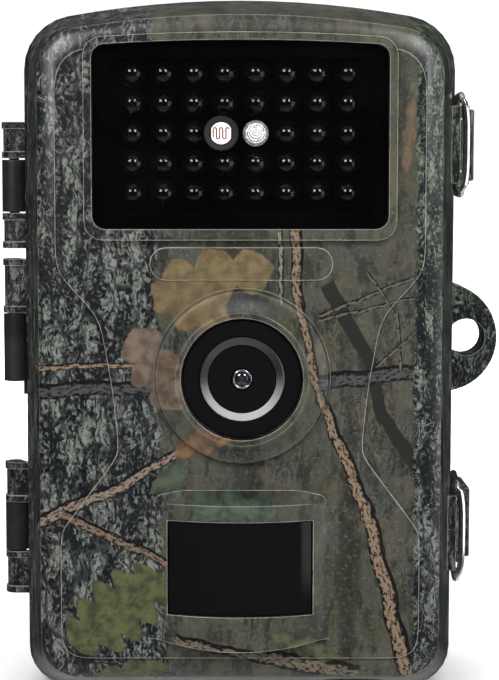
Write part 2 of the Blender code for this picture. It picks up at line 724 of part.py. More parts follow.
def microsd_card():
    outline = [(-5.5, -7.5), (5.5, -7.5), (5.5, 4.0), (4.2, 5.4), (4.2, 7.5), (-5.5, 7.5)]
    points = [(CARD_X + x * MM, CARD_Z + z * MM) for x, z in outline]
    return paint(plate("microsd_card", [points], -8.3 * MM, -7.6 * MM), BLACK)


def lcd_panel():
    panel = box("lcd_panel", (-30 * MM, 30 * MM), (-8.6 * MM, -5.4 * MM), (LCD_BOTTOM, LCD_TOP))
    return paint(panel, GLOSS)


def lcd_window():
    outline = rounded_box(-27 * MM, 27 * MM, 77 * MM, 118 * MM, 1 * MM, 2)
    return paint(plate("lcd_window", [outline], -4.8 * MM, -3.5 * MM), CLEAR)


def inner_cover():
    """The black cover over the front half's insides: the screen, keys, switch and sockets show through."""
    edge = inset_outline(2.6 * MM)
    holes = [
        rounded_box(-27.3 * MM, 27.3 * MM, 76.7 * MM, 118.3 * MM, 1.2 * MM, 2),
        rounded_box(SWITCH_X - 2.1 * MM, SWITCH_X + 2.1 * MM, SWITCH_Z - 7.6 * MM, SWITCH_Z + 7.6 * MM,
                    1 * MM, 2),
        rounded_box(-29 * MM, 10 * MM, 11.5 * MM, 27 * MM, 1.5 * MM, 2),
    ]
    holes += [circle(x * MM, z * MM, KEY_RADIUS + RUNNING_GAP, 20) for x, z in KEYS.values()]
    holes += [circle(x * MM, z * MM, 1.7 * MM, 12) for x, z in SCREWS.values()]
    return paint(plate("inner_cover", [edge] + holes, COVER_FRONT, COVER_BACK), BLACK)


def cover_screw(place, x, z):
    profile = [(0, 12.0), (1.35, 12.0), (1.35, 3.0), (2.7, 3.0), (2.7, 2.3), (1.9, 1.7), (0, 1.7)]
    screw = turned("cover_screw_" + place, in_mm(profile), x * MM, z * MM, 16)
    for angle in (0, 90):
        slot = box("cross_slot", (-1.5 * MM, 1.5 * MM), (-2.3 * MM, 0), (-0.3 * MM, 0.3 * MM))
        slot.rotation_euler.y = math.radians(angle)
        slot.location = (x * MM, -1.2 * MM, z * MM)
        cut(screw, slot)
    return paint(screw, STEEL)


def key(name, x, z):
    """A push key: a round cap with a wider foot that stays behind the cover."""
    profile = [(0, 7.6), (4.5, 7.6), (4.5, 6.3), (3.6, 6.3), (3.6, 2.8), (3.2, 2.4), (0, 2.4)]
    return paint(turned("key_" + name, in_mm(profile), x * MM, z * MM, 20), RUBBER)


def mode_switch():
    knob = box("mode_switch", (SWITCH_X - 3.4 * MM, SWITCH_X + 3.4 * MM), (-7.6 * MM, -6.2 * MM),
               (SWITCH_Z - 5 * MM, SWITCH_Z + 5 * MM))
    join(knob, box("knob", (SWITCH_X - 1.7 * MM, SWITCH_X + 1.7 * MM), (-6.6 * MM, -1.9 * MM),
                   (SWITCH_Z - 3.2 * MM, SWITCH_Z + 3.2 * MM)))
    return paint(knob, BLACK)


def seal_gasket():
    """The soft ring on the inner cover that the back half's rib presses on."""
    edges = [inset_outline(2.8 * MM), inset_outline(4.4 * MM)]
    return paint(plate("seal_gasket", edges, COVER_BACK + 0.2 * MM, -1.2 * MM), RUBBER)


def dc_jack():
    jack = box("dc_jack", (DC_X - 4.5 * MM, DC_X + 4.5 * MM), (DC_Y - 4.1 * MM, DC_Y + 4.1 * MM),
               (8.3 * MM, 18 * MM))
    cut(jack, rod("jack_bore", (DC_X, DC_Y, 7 * MM), (DC_X, DC_Y, 16 * MM), 2.75 * MM))
    return paint(jack, BLACK)


def dc_plug():
    """The rubber plug that closes the power socket from below."""
    plug = rod("dc_plug", (DC_X, DC_Y, 2.9 * MM), (DC_X, DC_Y, 4.3 * MM), 4.9 * MM, 24)
    join(plug, rod("stem", (DC_X, DC_Y, 4.0 * MM), (DC_X, DC_Y, 7.8 * MM), 2.85 * MM))
    return paint(plug, RUBBER)


# ---------------------------------------------------------------- back half


def back_skin():
    seam = SEAM_Y + SEAM_GAP
    inner = [
        (BACK_Y - WALL, 4.9 * MM, WALL + 0.4 * MM),
        (25 * MM, 1.8 * MM + WALL, WALL),
        (4 * MM, WALL, WALL),
        (seam, WALL, WALL),
    ]
    outer = [
        (seam, 0, 0),
        (4 * MM, 0, 0),
        (25 * MM, 1.8 * MM, 0),
        (28.6 * MM, 2.6 * MM, 0.4 * MM),
        (BACK_Y, 4.2 * MM, 2.0 * MM),
    ]
    return hollow_body("back_shell", inner, outer)


def seal_rib():
    """The ledge inside the back half that closes on the soft ring."""
    return plate("seal_rib", [inset_outline(1.4 * MM), inset_outline(4.6 * MM)], -0.9 * MM, 2.1 * MM)


def tree_rail(side):
    """A toothed rail that grips the bark, with a flat land at mid height and two strap slots."""
    tooth, depth = 4.0 * MM, 1.2 * MM
    flat = (58 * MM, 77 * MM)
    points = [(29 * MM, RAIL_BOTTOM), (RAIL_Y - 2 * MM, RAIL_BOTTOM)]
    z = RAIL_BOTTOM + 1.5 * MM
    while z < RAIL_TOP - tooth:
        if not flat[0] - tooth < z < flat[1]:
            points += [(RAIL_Y - depth, z), (RAIL_Y, z + tooth / 2)]
        elif points[-1][0] != RAIL_Y or points[-1][1] < flat[0]:
            points += [(RAIL_Y - depth, flat[0] - 0.5 * MM), (RAIL_Y, flat[0]), (RAIL_Y, flat[1])]
        z += tooth
    points += [(RAIL_Y - depth, RAIL_TOP - 1.5 * MM), (RAIL_Y - 2 * MM, RAIL_TOP), (29 * MM, RAIL_TOP)]
    middle = side * RAIL_X
    return side_plate("tree_rail", [points], middle - RAIL_HALF_WIDTH, middle + RAIL_HALF_WIDTH)


def latch_boss(z):
    """The back half's latch post: round where the lever turns on it."""
    px, py = LEVER_PIVOT
    outline = arc(px, py, 1.45 * MM, -90, 90, 10) + [(40.6 * MM, py + 1.45 * MM), (40.6 * MM, py - 1.45 * MM)]
    return slab("latch_boss", [outline], z - 5 * MM, z + 5 * MM)


def back_shell():
    shell = back_skin()
    join(shell, seal_rib())
    for side in (-1, 1):
        join(shell, tree_rail(side))
    add_padlock_eye(shell, SEAM_Y + 0.6 * MM, 2.4 * MM)
    join(shell, rod("tripod_boss", (0, TRIPOD_Y, 0.6 * MM), (0, TRIPOD_Y, 8.2 * MM), 7 * MM, 24))
    px, py = LEVER_PIVOT
    for z in LATCH_Z.values():
        join(shell, latch_boss(z))
        cut(shell, rod("latch_bore", (px, py, z - 8 * MM), (px, py, z + 8 * MM), LATCH_HOLE_RADIUS, 12))
    for low, high in STRAP_SLOTS:
        for side in (-1, 1):
            middle = side * RAIL_X
            cut(shell, box("strap_slot", (middle - 5 * MM, middle + 5 * MM), STRAP_DEPTH, (low, high)))
    cut(shell, rod("insert_bore", (0, TRIPOD_Y, -1 * MM), (0, TRIPOD_Y, 7.2 * MM), 5.2 * MM, 24))
    return paint(shell, CAMO)


def tripod_insert():
    """The brass thread that a tripod screws into, with a plain bore in place of the thread."""
    rims = [circle(0, TRIPOD_Y, 5 * MM), circle(0, TRIPOD_Y, 3.1 * MM)]
    return paint(slab("tripod_insert", rims, 0.2 * MM, 6.9 * MM), BRASS)


def rear_hinge(place, bottom, top):
    """A black hinge barrel with the leaf that lies along the back half's side."""
    bottom, top = bottom * MM, top * MM
    leaf_bottom = bottom - (LEAF_TAB if place == "middle" else 0)
    barrel = rod("rear_hinge_" + place, (HINGE_X, HINGE_Y, bottom), (HINGE_X, HINGE_Y, top),
                 KNUCKLE_RADIUS, 24)
    join(barrel, box("web", (HINGE_X - 0.6 * MM, -42.1 * MM), (HINGE_Y, 1.8 * MM), (bottom, top)))
    join(barrel, box("leaf", (-43.2 * MM, -42.1 * MM), (-0.4 * MM, 9 * MM), (leaf_bottom, top - 0.01 * MM)))
    cut(barrel, rod("barrel_bore", (HINGE_X, HINGE_Y, bottom - 1 * MM), (HINGE_X, HINGE_Y, top + 1 * MM),
                    PIN_HOLE_RADIUS))
    return paint(barrel, BLACK)


def hinge_pin(place, bottom, top):
    pin = rod("hinge_pin_" + place, (HINGE_X, HINGE_Y, bottom * MM), (HINGE_X, HINGE_Y, top * MM), PIN_RADIUS)
    return paint(pin, STEEL)


def battery_tray():
    """The tray for eight cells in two rows, with ears for the battery door's pivots."""
    inner = TRAY_HALF_WIDTH - TRAY_WALL
    tray = box("battery_tray", (-TRAY_HALF_WIDTH, TRAY_HALF_WIDTH), (TRAY_FRONT, TRAY_BACK),
               (TRAY_BOTTOM, TRAY_TOP))
    wall_low, wall_high = 66.1 * MM, 67.7 * MM
    for low, high in ((TRAY_BOTTOM + TRAY_WALL, wall_low), (wall_high, TRAY_TOP - TRAY_WALL)):
        cut(tray, box("bay", (-inner, inner), (TRAY_FRONT - 2 * MM, TRAY_BACK - TRAY_WALL), (low, high)))
    cut(tray, box("fold_gap", (-28.9 * MM, 28.9 * MM), (TRAY_FRONT - 2 * MM, 13.5 * MM),
                  (wall_low - 1 * MM, wall_high + 1 * MM)))
    hx, hy = DOOR_HINGE_X, DOOR_HINGE_Y
    for low, high in ((7.0 * MM, 9.3 * MM), (124.5 * MM, 126.8 * MM)):
        ear = [(-31 * MM, 12 * MM), (-36 * MM, 12 * MM)] + arc(hx, hy, 1.8 * MM, 180, 360, 10)
        join(tray, slab("pivot_ear", [ear], low, high))
        cut(tray, rod("pivot_hole", (hx, hy, low - 0.4 * MM), (hx, hy, high + 0.4 * MM), 0.95 * MM, 12))
    return paint(tray, BLACK)


def battery_door():
    """The cover over the cells, turning on two stub pivots at its left edge."""
    hx, hy = DOOR_HINGE_X, DOOR_HINGE_Y
    outline = rounded_box(hx, 32.4 * MM, 9.7 * MM, 124.1 * MM, 1.5 * MM, 3)
    door = plate("battery_door", [outline], 6.6 * MM, 8.0 * MM)
    join(door, rod("edge_roll", (hx, hy, 9.7 * MM), (hx, hy, 124.1 * MM), 1.15 * MM))
    join(door, rod("pivots", (hx, hy, 7.5 * MM), (hx, hy, 126.3 * MM), 0.75 * MM, 12))
    for index in range(5):
        z = (58.9 + 4 * index) * MM
        join(door, box("grip_rib", (24 * MM, 30 * MM), (6.0 * MM, 7.2 * MM), (z - 0.6 * MM, z + 0.6 * MM)))
    return paint(door, BLACK)


def battery_cell(number, x, bottom, nub_up):
    """One AA cell standing in the tray, with its nub at the top or at the bottom."""
    nub, nub_radius = 1.0 * MM, 2.75 * MM
    can = AA_LENGTH - nub
    profile = [(0, AA_LENGTH), (nub_radius, AA_LENGTH), (nub_radius, can), (AA_RADIUS - 0.5 * MM, can),
               (AA_RADIUS, can - 0.5 * MM), (AA_RADIUS, 0.4 * MM), (AA_RADIUS - 0.4 * MM, 0), (0, 0)]
    cell = turned("battery_%d" % number, profile, steps=20)
    cell.rotation_euler.x = 0 if nub_up else math.radians(180)
    cell.location = (x, AA_Y, bottom if nub_up else bottom + AA_LENGTH)
    return paint(cell, CELL)


def battery_cells():
    """Cells side by side point opposite ways. A spring takes the room left at each flat end."""
    clearance = 0.2 * MM
    number = 1
    for row, row_bottom in enumerate(ROW_BOTTOMS):
        for column, x in enumerate(AA_COLUMNS):
            nub_up = (row + column) % 2 == 0
            top = row_bottom + ROW_LENGTH
            bottom = top - clearance - AA_LENGTH if nub_up else row_bottom + clearance
            battery_cell(number, x, bottom, nub_up)
            number += 1


def coil(x, base_z, direction):
    """A cone-shaped contact spring that stands on a strip at base_z and reaches towards a cell."""
    turns, per_turn, height = 2, 9, 2.7 * MM
    start_radius, end_radius = 4.4 * MM, 2.6 * MM
    count = int(turns * per_turn)
    points = []
    for i in range(count + 1):
        share = i / count
        radius = start_radius + (end_radius - start_radius) * share
        angle = math.radians(360 * turns * share)
        z = base_z + direction * height * share
        points.append((x + radius * math.cos(angle), AA_Y + radius * math.sin(angle), z))
    return to_mesh(wire("coil", points, 0.35 * MM, 1))


def contact_strip(name, z0, z1, springs):
    """A contact strip with its springs; springs holds (column, direction, height of its foot)."""
    strip = box(name, (-28.5 * MM, 28.5 * MM), (12.6 * MM, 22.6 * MM), (z0, z1))
    for column, direction, foot in springs:
        join(strip, coil(AA_COLUMNS[column], foot, direction))
    return strip


def contact_strips():
    low, high = ROW_BOTTOMS
    top = high + ROW_LENGTH
    foot = 0.1 * MM
    bottom_strip = contact_strip("contact_strip_bottom", low - STRIP_THICK, low,
                                 [(0, 1, low + foot), (2, 1, low + foot)])
    top_strip = contact_strip("contact_strip_top", top, top + STRIP_THICK,
                              [(0, -1, top - foot), (2, -1, top - foot)])
    under, over = low + ROW_LENGTH, high
    middle = contact_strip("contact_strip_middle", under, over, [
        (1, -1, under - foot), (3, -1, under - foot), (1, 1, over + foot), (3, 1, over + foot)])
    fold = (under + STRIP_THICK, over - STRIP_THICK)
    cut(middle, box("fold_slot", (-35 * MM, 35 * MM), (13.2 * MM, 26 * MM), fold))
    for strip in (bottom_strip, top_strip, middle):
        paint(strip, STEEL)


def power_cable():
    """The lead from the top of the battery tray to the seam, where it crosses into the front half."""
    x, top, bend = -24 * MM, 127.8 * MM, 2.5 * MM
    points = [(x, 18 * MM, 125.3 * MM)]
    points += [(x, py, pz) for py, pz in arc(18 * MM - bend, top - bend, bend, 0, 90, 6)]
    points += [(x, -0.4 * MM, top), (x, -2.7 * MM, top)]
    return paint(to_mesh(wire("power_cable", points, 0.8 * MM)), BLACK)


# ---------------------------------------------------------------- latches


def latch_lever(place, z):
    """The lever: a plate outside, two cheeks that carry the pivot pin and the wire's ends."""
    px, py = LEVER_PIVOT
    bx, by = BAIL_PIVOT
    lever = box("latch_lever_" + place, (45.55 * MM, 46.9 * MM), (py + 0.5 * MM, 16.5 * MM),
                (z - 7.1 * MM, z + 7.1 * MM), 0.4 * MM)
    cheek = arc(px, py, 1.6 * MM, 180, 300, 8) + [(45.9 * MM, py + 0.6 * MM), (45.9 * MM, 12 * MM)]
    cheek += arc(bx, by, 1.6 * MM, 60, 180, 8)
    for low, high in ((-7.8 * MM, -5.3 * MM), (5.3 * MM, 7.8 * MM)):
        join(lever, slab("cheek", [cheek], z + low, z + high))
    cut(lever, rod("pivot_hole", (px, py, z - 9 * MM), (px, py, z + 9 * MM), LATCH_HOLE_RADIUS, 12))
    cut(lever, rod("wire_hole", (bx, by, z - 9 * MM), (bx, by, z + 9 * MM), LATCH_HOLE_RADIUS, 12))
    return paint(lever, CAMO)


def latch_bail(place, z):
    """The wire: its ends turn inwards into the lever, its front bows out past the catch."""
    bx, by = BAIL_PIVOT
    half, end_in, front_y, bend = 9.6 * MM, 5.9 * MM, -8.2 * MM, 1.6 * MM
    near, bow = 43.1 * MM, 1.0 * MM
    upper = [(bx, by, end_in), (bx, by, half - bend)]
    upper += [(bx, by - bend + bend * math.cos(a), half - bend + bend * math.sin(a))
              for a in (math.radians(d) for d in (30, 60, 90))]
    upper += [(bx + (near - bx) * t, by - bend + (front_y + 2 * bend - by) * t, half)
              for t in (0.35, 0.7, 1.0)]
    upper += [(near, front_y + bend - bend * math.sin(a), half - bend + bend * math.cos(a))
              for a in (math.radians(d) for d in (30, 60))]
    crossing = []
    for i in range(13):
        height = (half - bend) * (1 - i / 6)
        crossing.append((near + bow * (1 - (height / half) ** 4), front_y, height))
    lower = [(x, y, -h) for x, y, h in reversed(upper)]
    points = [(x, y, z + h) for x, y, h in upper + crossing + lower]
    return paint(to_mesh(wire("latch_bail_" + place, points, BAIL_RADIUS)), STEEL)


def latch_pin(place, z):
    px, py = LEVER_PIVOT
    return paint(rod("latch_pin_" + place, (px, py, z - 8 * MM), (px, py, z + 8 * MM), 0.7 * MM, 12), STEEL)


# ---------------------------------------------------------------- assembly


def build_front():
    front_shell()
    ir_window()
    led_board()
    light_sensor()
    white_led()
    lens_window()
    lens_ring()
    lens_barrel()
    ir_cut_housing()
    ir_cut_slider()
    sensor_board()
    pir_window()
    pir_sensor()
    main_board()
    microsd_card()
    lcd_panel()
    lcd_window()
    inner_cover()
    seal_gasket()
    mode_switch()
    dc_jack()
    dc_plug()
    for place, (x, z) in SCREWS.items():
        cover_screw(place, x, z)
    for name, (x, z) in KEYS.items():
        key(name, x, z)


def build_back():
    back_shell()
    tripod_insert()
    battery_tray()
    battery_door()
    battery_cells()
    contact_strips()
    power_cable()
    for place, (bottom, top) in REAR_BARRELS.items():
        rear_hinge(place, bottom, top)
    for place, (bottom, top) in HINGE_PINS.items():
        hinge_pin(place, bottom, top)


def build_latches():
    for place, z in LATCH_Z.items():
        latch_lever(place, z)
        latch_bail(place, z)
        latch_pin(place, z)


clear_scene()
PARTS = new_collection("trail_camera")
TOOLS = new_collection("cutters")
build_front()
build_back()
build_latches()
for part in PARTS.objects:
    smooth(part)
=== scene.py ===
"""Looks of the trail camera: its finishes, the lamps behind their window, a studio and a camera.

The fixed frame is in metres. Sizes in the shader helpers, and points of the new pieces, are in
millimetres. Colours are linear (red, green, blue).
"""

import json
import math

import bmesh
import bpy
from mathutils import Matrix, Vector

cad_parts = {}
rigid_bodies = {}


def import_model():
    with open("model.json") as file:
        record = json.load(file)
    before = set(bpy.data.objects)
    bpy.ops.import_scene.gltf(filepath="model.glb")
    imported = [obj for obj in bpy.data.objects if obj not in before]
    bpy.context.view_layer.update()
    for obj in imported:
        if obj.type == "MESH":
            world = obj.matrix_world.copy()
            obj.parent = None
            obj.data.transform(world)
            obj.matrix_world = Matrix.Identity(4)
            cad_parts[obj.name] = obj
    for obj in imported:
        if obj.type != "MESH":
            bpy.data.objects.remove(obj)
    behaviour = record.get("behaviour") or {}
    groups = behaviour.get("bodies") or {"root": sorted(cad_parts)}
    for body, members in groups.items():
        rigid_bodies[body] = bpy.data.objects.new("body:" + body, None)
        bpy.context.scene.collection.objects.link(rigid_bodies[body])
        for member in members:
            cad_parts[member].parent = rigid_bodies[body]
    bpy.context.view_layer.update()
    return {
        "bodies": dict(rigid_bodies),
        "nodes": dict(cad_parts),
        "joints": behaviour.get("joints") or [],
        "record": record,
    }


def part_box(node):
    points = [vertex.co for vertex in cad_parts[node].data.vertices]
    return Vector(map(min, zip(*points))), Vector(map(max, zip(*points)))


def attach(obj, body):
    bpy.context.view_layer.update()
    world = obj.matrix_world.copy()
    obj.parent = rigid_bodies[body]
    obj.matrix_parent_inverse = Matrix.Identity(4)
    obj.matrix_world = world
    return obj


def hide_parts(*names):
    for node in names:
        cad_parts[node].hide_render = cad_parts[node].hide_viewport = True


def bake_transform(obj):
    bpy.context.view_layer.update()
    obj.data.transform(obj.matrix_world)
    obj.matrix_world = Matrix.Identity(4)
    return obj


MM = 0.001

# Places and spacings on the front in millimetres, across and up
LENS = (0.3, 64.5)
LAMP_PITCH, LAMP_MIDDLE = (5.67, 5.49), 109.15
LIGHT_SENSOR, WHITE_LAMP = (-3.5, LAMP_MIDDLE), (2.8, LAMP_MIDDLE)
FACE_DEPTH = 30.0  # how far the front face lies in front of the origin
MIDDLE_UP = 67.5  # half the height of the casing

# Faces past these are on the outside of the casing, by half width, height and depth in millimetres
SKIN_ACROSS, SKIN_UP, SKIN_DEEP = 40.7, (0.9, 134.1), (-28.4, 29.3)
# Faces past these are close to a side wall, to the bottom or top, and to the front or back
NEAR_SIDE, NEAR_END, NEAR_FRONT = 34.0, 58.0, 22.0
# The ledge behind the lamp window, by half width, height and depth
LEDGE_ACROSS, LEDGE_UP, LEDGE_DEEP = 27.2, (91.5, 126.2), (-30.3, -24.0)

BLACK, WHITE = (0.0, 0.0, 0.0), (1.0, 1.0, 1.0)
PAPER_WHITE = 1.1  # just over 1, so that the floor far away and the air come out pure white
MIX_A, MIX_B, MIX_RESULT = 6, 7, 2  # the colour sockets of a Mix node

# ---------------------------------------------------------------- shader helpers


class Graph:
    """Short calls that build one material's nodes."""

    def __init__(self, name):
        self.material = bpy.data.materials.new(name)
        self.material.use_nodes = True
        self.tree = self.material.node_tree
        self.shader = self.tree.nodes["Principled BSDF"]
        self.place = self.tree.nodes.new("ShaderNodeTexCoord")

    def feed(self, socket, value):
        """Links an output to the socket, or sets it to a plain value."""
        if isinstance(value, bpy.types.NodeSocket):
            self.tree.links.new(value, socket)
        elif socket.type == "RGBA" and len(value) == 3:
            socket.default_value = (*value, 1.0)
        else:
            socket.default_value = value

    def math(self, operation, *values):
        node = self.tree.nodes.new("ShaderNodeMath")
        node.operation = operation
        for socket, value in zip(node.inputs, values):
            self.feed(socket, value)
        return node.outputs[0]

    def add(self, a, b):
        return self.math("ADD", a, b)

    def sub(self, a, b):
        return self.math("SUBTRACT", a, b)

    def mul(self, a, b):
        return self.math("MULTIPLY", a, b)

    def step(self, value, low, high):
        """0 below low, 1 above high, and an S-curve between."""
        node = self.tree.nodes.new("ShaderNodeMapRange")
        node.interpolation_type = "SMOOTHSTEP"
        self.feed(node.inputs["Value"], value)
        self.feed(node.inputs["From Min"], low)
        self.feed(node.inputs["From Max"], high)
        return node.outputs["Result"]

    def remap(self, value, low, high, to_low, to_high):
        """Straight from to_low at low to to_high at high, and level outside them."""
        node = self.tree.nodes.new("ShaderNodeMapRange")
        names = ("Value", "From Min", "From Max", "To Min", "To Max")
        for name, number in zip(names, (value, low, high, to_low, to_high)):
            self.feed(node.inputs[name], number)
        return node.outputs["Result"]

    def mix(self, share, a, b):
        """Colour a where share is 0 and colour b where it is 1."""
        node = self.tree.nodes.new("ShaderNodeMix")
        node.data_type = "RGBA"
        self.feed(node.inputs[0], share)
        self.feed(node.inputs[MIX_A], a)
        self.feed(node.inputs[MIX_B], b)
        return node.outputs[MIX_RESULT]

    def vector(self, x, y, z=0.0):
        node = self.tree.nodes.new("ShaderNodeCombineXYZ")
        for socket, value in zip(node.inputs, (x, y, z)):
            self.feed(socket, value)
        return node.outputs[0]

    def split(self, vector):
        """The x, y and z of a vector."""
        node = self.tree.nodes.new("ShaderNodeSeparateXYZ")
        self.feed(node.inputs[0], vector)
        return node.outputs

    def millimetres(self):
        """The place on the object in millimetres."""
        node = self.tree.nodes.new("ShaderNodeVectorMath")
        node.operation = "SCALE"
        self.feed(node.inputs[0], self.place.outputs["Object"])
        node.inputs["Scale"].default_value = 1 / MM
        return node.outputs[0]

    def noise(self, vector, size, detail=3.0, roughness=0.5, warp=0.0):
        """Noise from 0 to 1 whose blobs are about size across."""
        node = self.tree.nodes.new("ShaderNodeTexNoise")
        self.feed(node.inputs["Vector"], vector)
        node.inputs["Scale"].default_value = 1 / size
        node.inputs["Detail"].default_value = detail
        node.inputs["Roughness"].default_value = roughness
        node.inputs["Distortion"].default_value = warp
        return node.outputs["Fac"]

    def cracks(self, vector, size):
        """Distance to the nearest border between cells of about size across, as a share of size."""
        node = self.tree.nodes.new("ShaderNodeTexVoronoi")
        node.feature = "DISTANCE_TO_EDGE"
        self.feed(node.inputs["Vector"], vector)
        node.inputs["Scale"].default_value = 1 / size
        return node.outputs["Distance"]

    def bump(self, height, depth, soften=0.0):
        """A bump from 0 to depth millimetres. soften rounds off the edges by that many millimetres."""
        node = self.tree.nodes.new("ShaderNodeBump")
        node.inputs["Distance"].default_value = depth * MM
        self.feed(node.inputs["Height"], height)
        if soften:
            edge = self.tree.nodes.new("ShaderNodeBevel")
            edge.samples = 4
            edge.inputs["Radius"].default_value = soften * MM
            self.feed(node.inputs["Normal"], edge.outputs[0])
        self.feed(self.shader.inputs["Normal"], node.outputs[0])

    def edges(self, radius):
        """1 within about radius millimetres of an edge, and 0 on open faces."""
        faint, full = 0.015, 0.12  # how far the rounded face leans away from the true one
        rounded = self.tree.nodes.new("ShaderNodeBevel")
        rounded.samples = 6
        rounded.inputs["Radius"].default_value = radius * MM
        true = self.tree.nodes.new("ShaderNodeNewGeometry")
        dot = self.tree.nodes.new("ShaderNodeVectorMath")
        dot.operation = "DOT_PRODUCT"
        self.feed(dot.inputs[0], rounded.outputs[0])
        self.feed(dot.inputs[1], true.outputs["Normal"])
        return self.step(self.sub(1.0, dot.outputs["Value"]), faint, full)

    def distance_from(self, place):
        """Distance in millimetres from a front-to-back axis through place, which is (across, up)."""
        x, _, z = self.split(self.millimetres())
        dx, dz = self.sub(x, place[0]), self.sub(z, place[1])
        return self.math("SQRT", self.add(self.mul(dx, dx), self.mul(dz, dz)))

    def finish(self, colour, roughness, **inputs):
        """Completes the material. Further inputs are named as on the shader, with _ for a space."""
        self.feed(self.shader.inputs["Base Color"], colour)
        self.feed(self.shader.inputs["Roughness"], roughness)
        for name, value in inputs.items():
            self.feed(self.shader.inputs[name.replace("_", " ")], value)
        return self.material


# ---------------------------------------------------------------- camouflage

OLIVE, MOSS, SLATE = (0.085, 0.085, 0.058), (0.060, 0.064, 0.040), (0.080, 0.086, 0.075)
DUSK, BRUSH, LITTER = (0.020, 0.021, 0.016), (0.022, 0.022, 0.016), (0.115, 0.095, 0.062)
FLECK, TANGLE, SPRIG = (0.17, 0.17, 0.135), (0.008, 0.008, 0.007), (0.05, 0.09, 0.03)
BARK_DARK, BARK_LIGHT = (0.006, 0.008, 0.011), (0.120, 0.132, 0.112)
BARK_GLINT, LICHEN_LOW, LICHEN_HIGH = (1.0, 1.0, 0.95), (0.115, 0.127, 0.112), (0.105, 0.140, 0.090)
TAN, TWIG, STONE = (0.25, 0.175, 0.115), (0.13, 0.115, 0.09), (0.07, 0.072, 0.072)
# The second colour here is the casing's edge colour: partly wear, partly a painted highlight along every
# edge.
BLACK_INK, EDGE_WEAR_AND_HIGHLIGHT = (0.006, 0.006, 0.006), (0.36, 0.36, 0.32)

# Each branch: start and end across and up, half width at each end, then its light and dark colours.
BRANCHES = [
    ((16.0, 81.5), (23.7, 67.5), 1.5, 1.3, DUSK, DUSK),
    ((23.7, 68.5), (26.6, 56.0), 1.3, 1.2, DUSK, DUSK),
    ((26.2, 57.0), (34.0, 46.5), 1.2, 1.6, DUSK, DUSK),
    ((7.2, 94.0), (7.6, 78.0), 0.6, 0.5, (0.20, 0.24, 0.15), BLACK_INK),
    ((9.9, 94.0), (10.8, 77.0), 1.3, 1.1, TAN, BLACK_INK),
    ((10.7, 78.0), (14.8, 60.0), 1.0, 1.0, TAN, BLACK_INK),
    ((14.8, 63.5), (46.0, 66.5), 1.7, 1.5, STONE, BLACK_INK),
    ((14.7, 61.0), (23.8, 38.5), 1.1, 1.5, TAN, BLACK_INK),
    ((23.6, 39.5), (31.5, 8.0), 1.5, 1.9, TAN, BLACK_INK),
    ((-44.0, 61.5), (-13.0, 62.5), 1.6, 1.4, STONE, BLACK_INK),
    ((-44.0, 65.8), (-14.0, 66.8), 0.7, 0.5, TAN, BLACK_INK),
    ((-44.0, 34.5), (-24.0, 43.0), 1.5, 1.2, (0.25, 0.19, 0.145), BLACK_INK),
    ((-24.0, 43.0), (-2.0, 56.0), 1.2, 0.7, (0.25, 0.19, 0.145), BLACK_INK),
    ((-33.0, 38.5), (-12.0, 29.0), 1.1, 0.9, (0.20, 0.14, 0.10), BLACK_INK),
    ((-12.0, 15.5), (22.0, 8.0), 1.4, 2.2, (0.16, 0.13, 0.095), BLACK_INK),
    ((14.8, 75.8), (33.5, 83.4), 0.5, 0.4, TWIG, BLACK_INK),
    ((14.8, 75.0), (34.0, 79.4), 0.4, 0.4, TWIG, BLACK_INK),
    ((23.6, 83.5), (29.2, 75.0), 0.35, 0.3, TWIG, BLACK_INK),
    ((29.1, 76.0), (29.6, 65.5), 0.35, 0.4, TWIG, BLACK_INK),
    ((25.4, 66.3), (33.5, 73.8), 0.4, 0.3, TWIG, BLACK_INK),
]

# Each leaf: middle, turn in degrees, half length, half width, lobes, then its two colours.
LEAVES = [
    ((-4.5, 83.0), 8, 11.0, 5.4, 3, (0.205, 0.150, 0.070), (0.120, 0.090, 0.042)),
    ((-9.0, 77.5), -30, 8.5, 4.8, 3, (0.195, 0.140, 0.068), (0.115, 0.082, 0.042)),
    ((-15.5, 66.0), -58, 8.5, 5.4, 3, (0.189, 0.139, 0.102), (0.098, 0.066, 0.049)),
    ((-7.0, 52.5), 28, 6.0, 3.0, 3, (0.213, 0.123, 0.061), (0.090, 0.057, 0.033)),
    ((-23.0, 20.5), 38, 11.0, 7.2, 5, (0.107, 0.123, 0.045), (0.041, 0.053, 0.023)),
    ((-1.5, 40.5), -6, 8.5, 3.0, 3, (0.090, 0.119, 0.086), (0.041, 0.061, 0.045)),
    ((-13.0, 45.5), 40, 5.0, 1.9, 1, (0.082, 0.102, 0.070), (0.041, 0.053, 0.037)),
    ((-6.0, 36.0), 20, 6.0, 2.2, 1, (0.074, 0.090, 0.066), (0.037, 0.045, 0.033)),
    ((31.0, 109.0), 84, 7.0, 1.7, 3, (0.15, 0.105, 0.065), (0.09, 0.065, 0.042)),
    ((36.0, 121.0), 50, 7.0, 3.4, 3, (0.123, 0.115, 0.074), (0.057, 0.057, 0.037)),
    ((-20.0, 8.5), 10, 7.0, 2.6, 3, (0.107, 0.107, 0.057), (0.041, 0.045, 0.025)),
    ((12.0, 14.0), -25, 7.0, 2.4, 3, (0.098, 0.107, 0.057), (0.041, 0.045, 0.025)),
]


INK = 0.54  # strength of the printed colours on the plastic


def wrapped_position(g):
    """Across and up over the front in millimetres, unrolled round the sides, the top and the bottom."""
    x, y, z = g.split(g.millimetres())
    nx, _, nz = g.split(g.place.outputs["Normal"])
    depth = g.math("MAXIMUM", g.add(y, FACE_DEPTH), 0.0)
    leaning, square = 0.62, 0.70  # of a face's normal: the print turns the corner between these
    sideways = g.mul(g.step(g.math("ABSOLUTE", nx), leaning, square), g.math("SIGN", nx))
    upwards = g.mul(g.step(g.math("ABSOLUTE", nz), leaning, square), g.math("SIGN", nz))
    return g.add(x, g.mul(sideways, depth)), g.add(z, g.mul(upwards, depth))


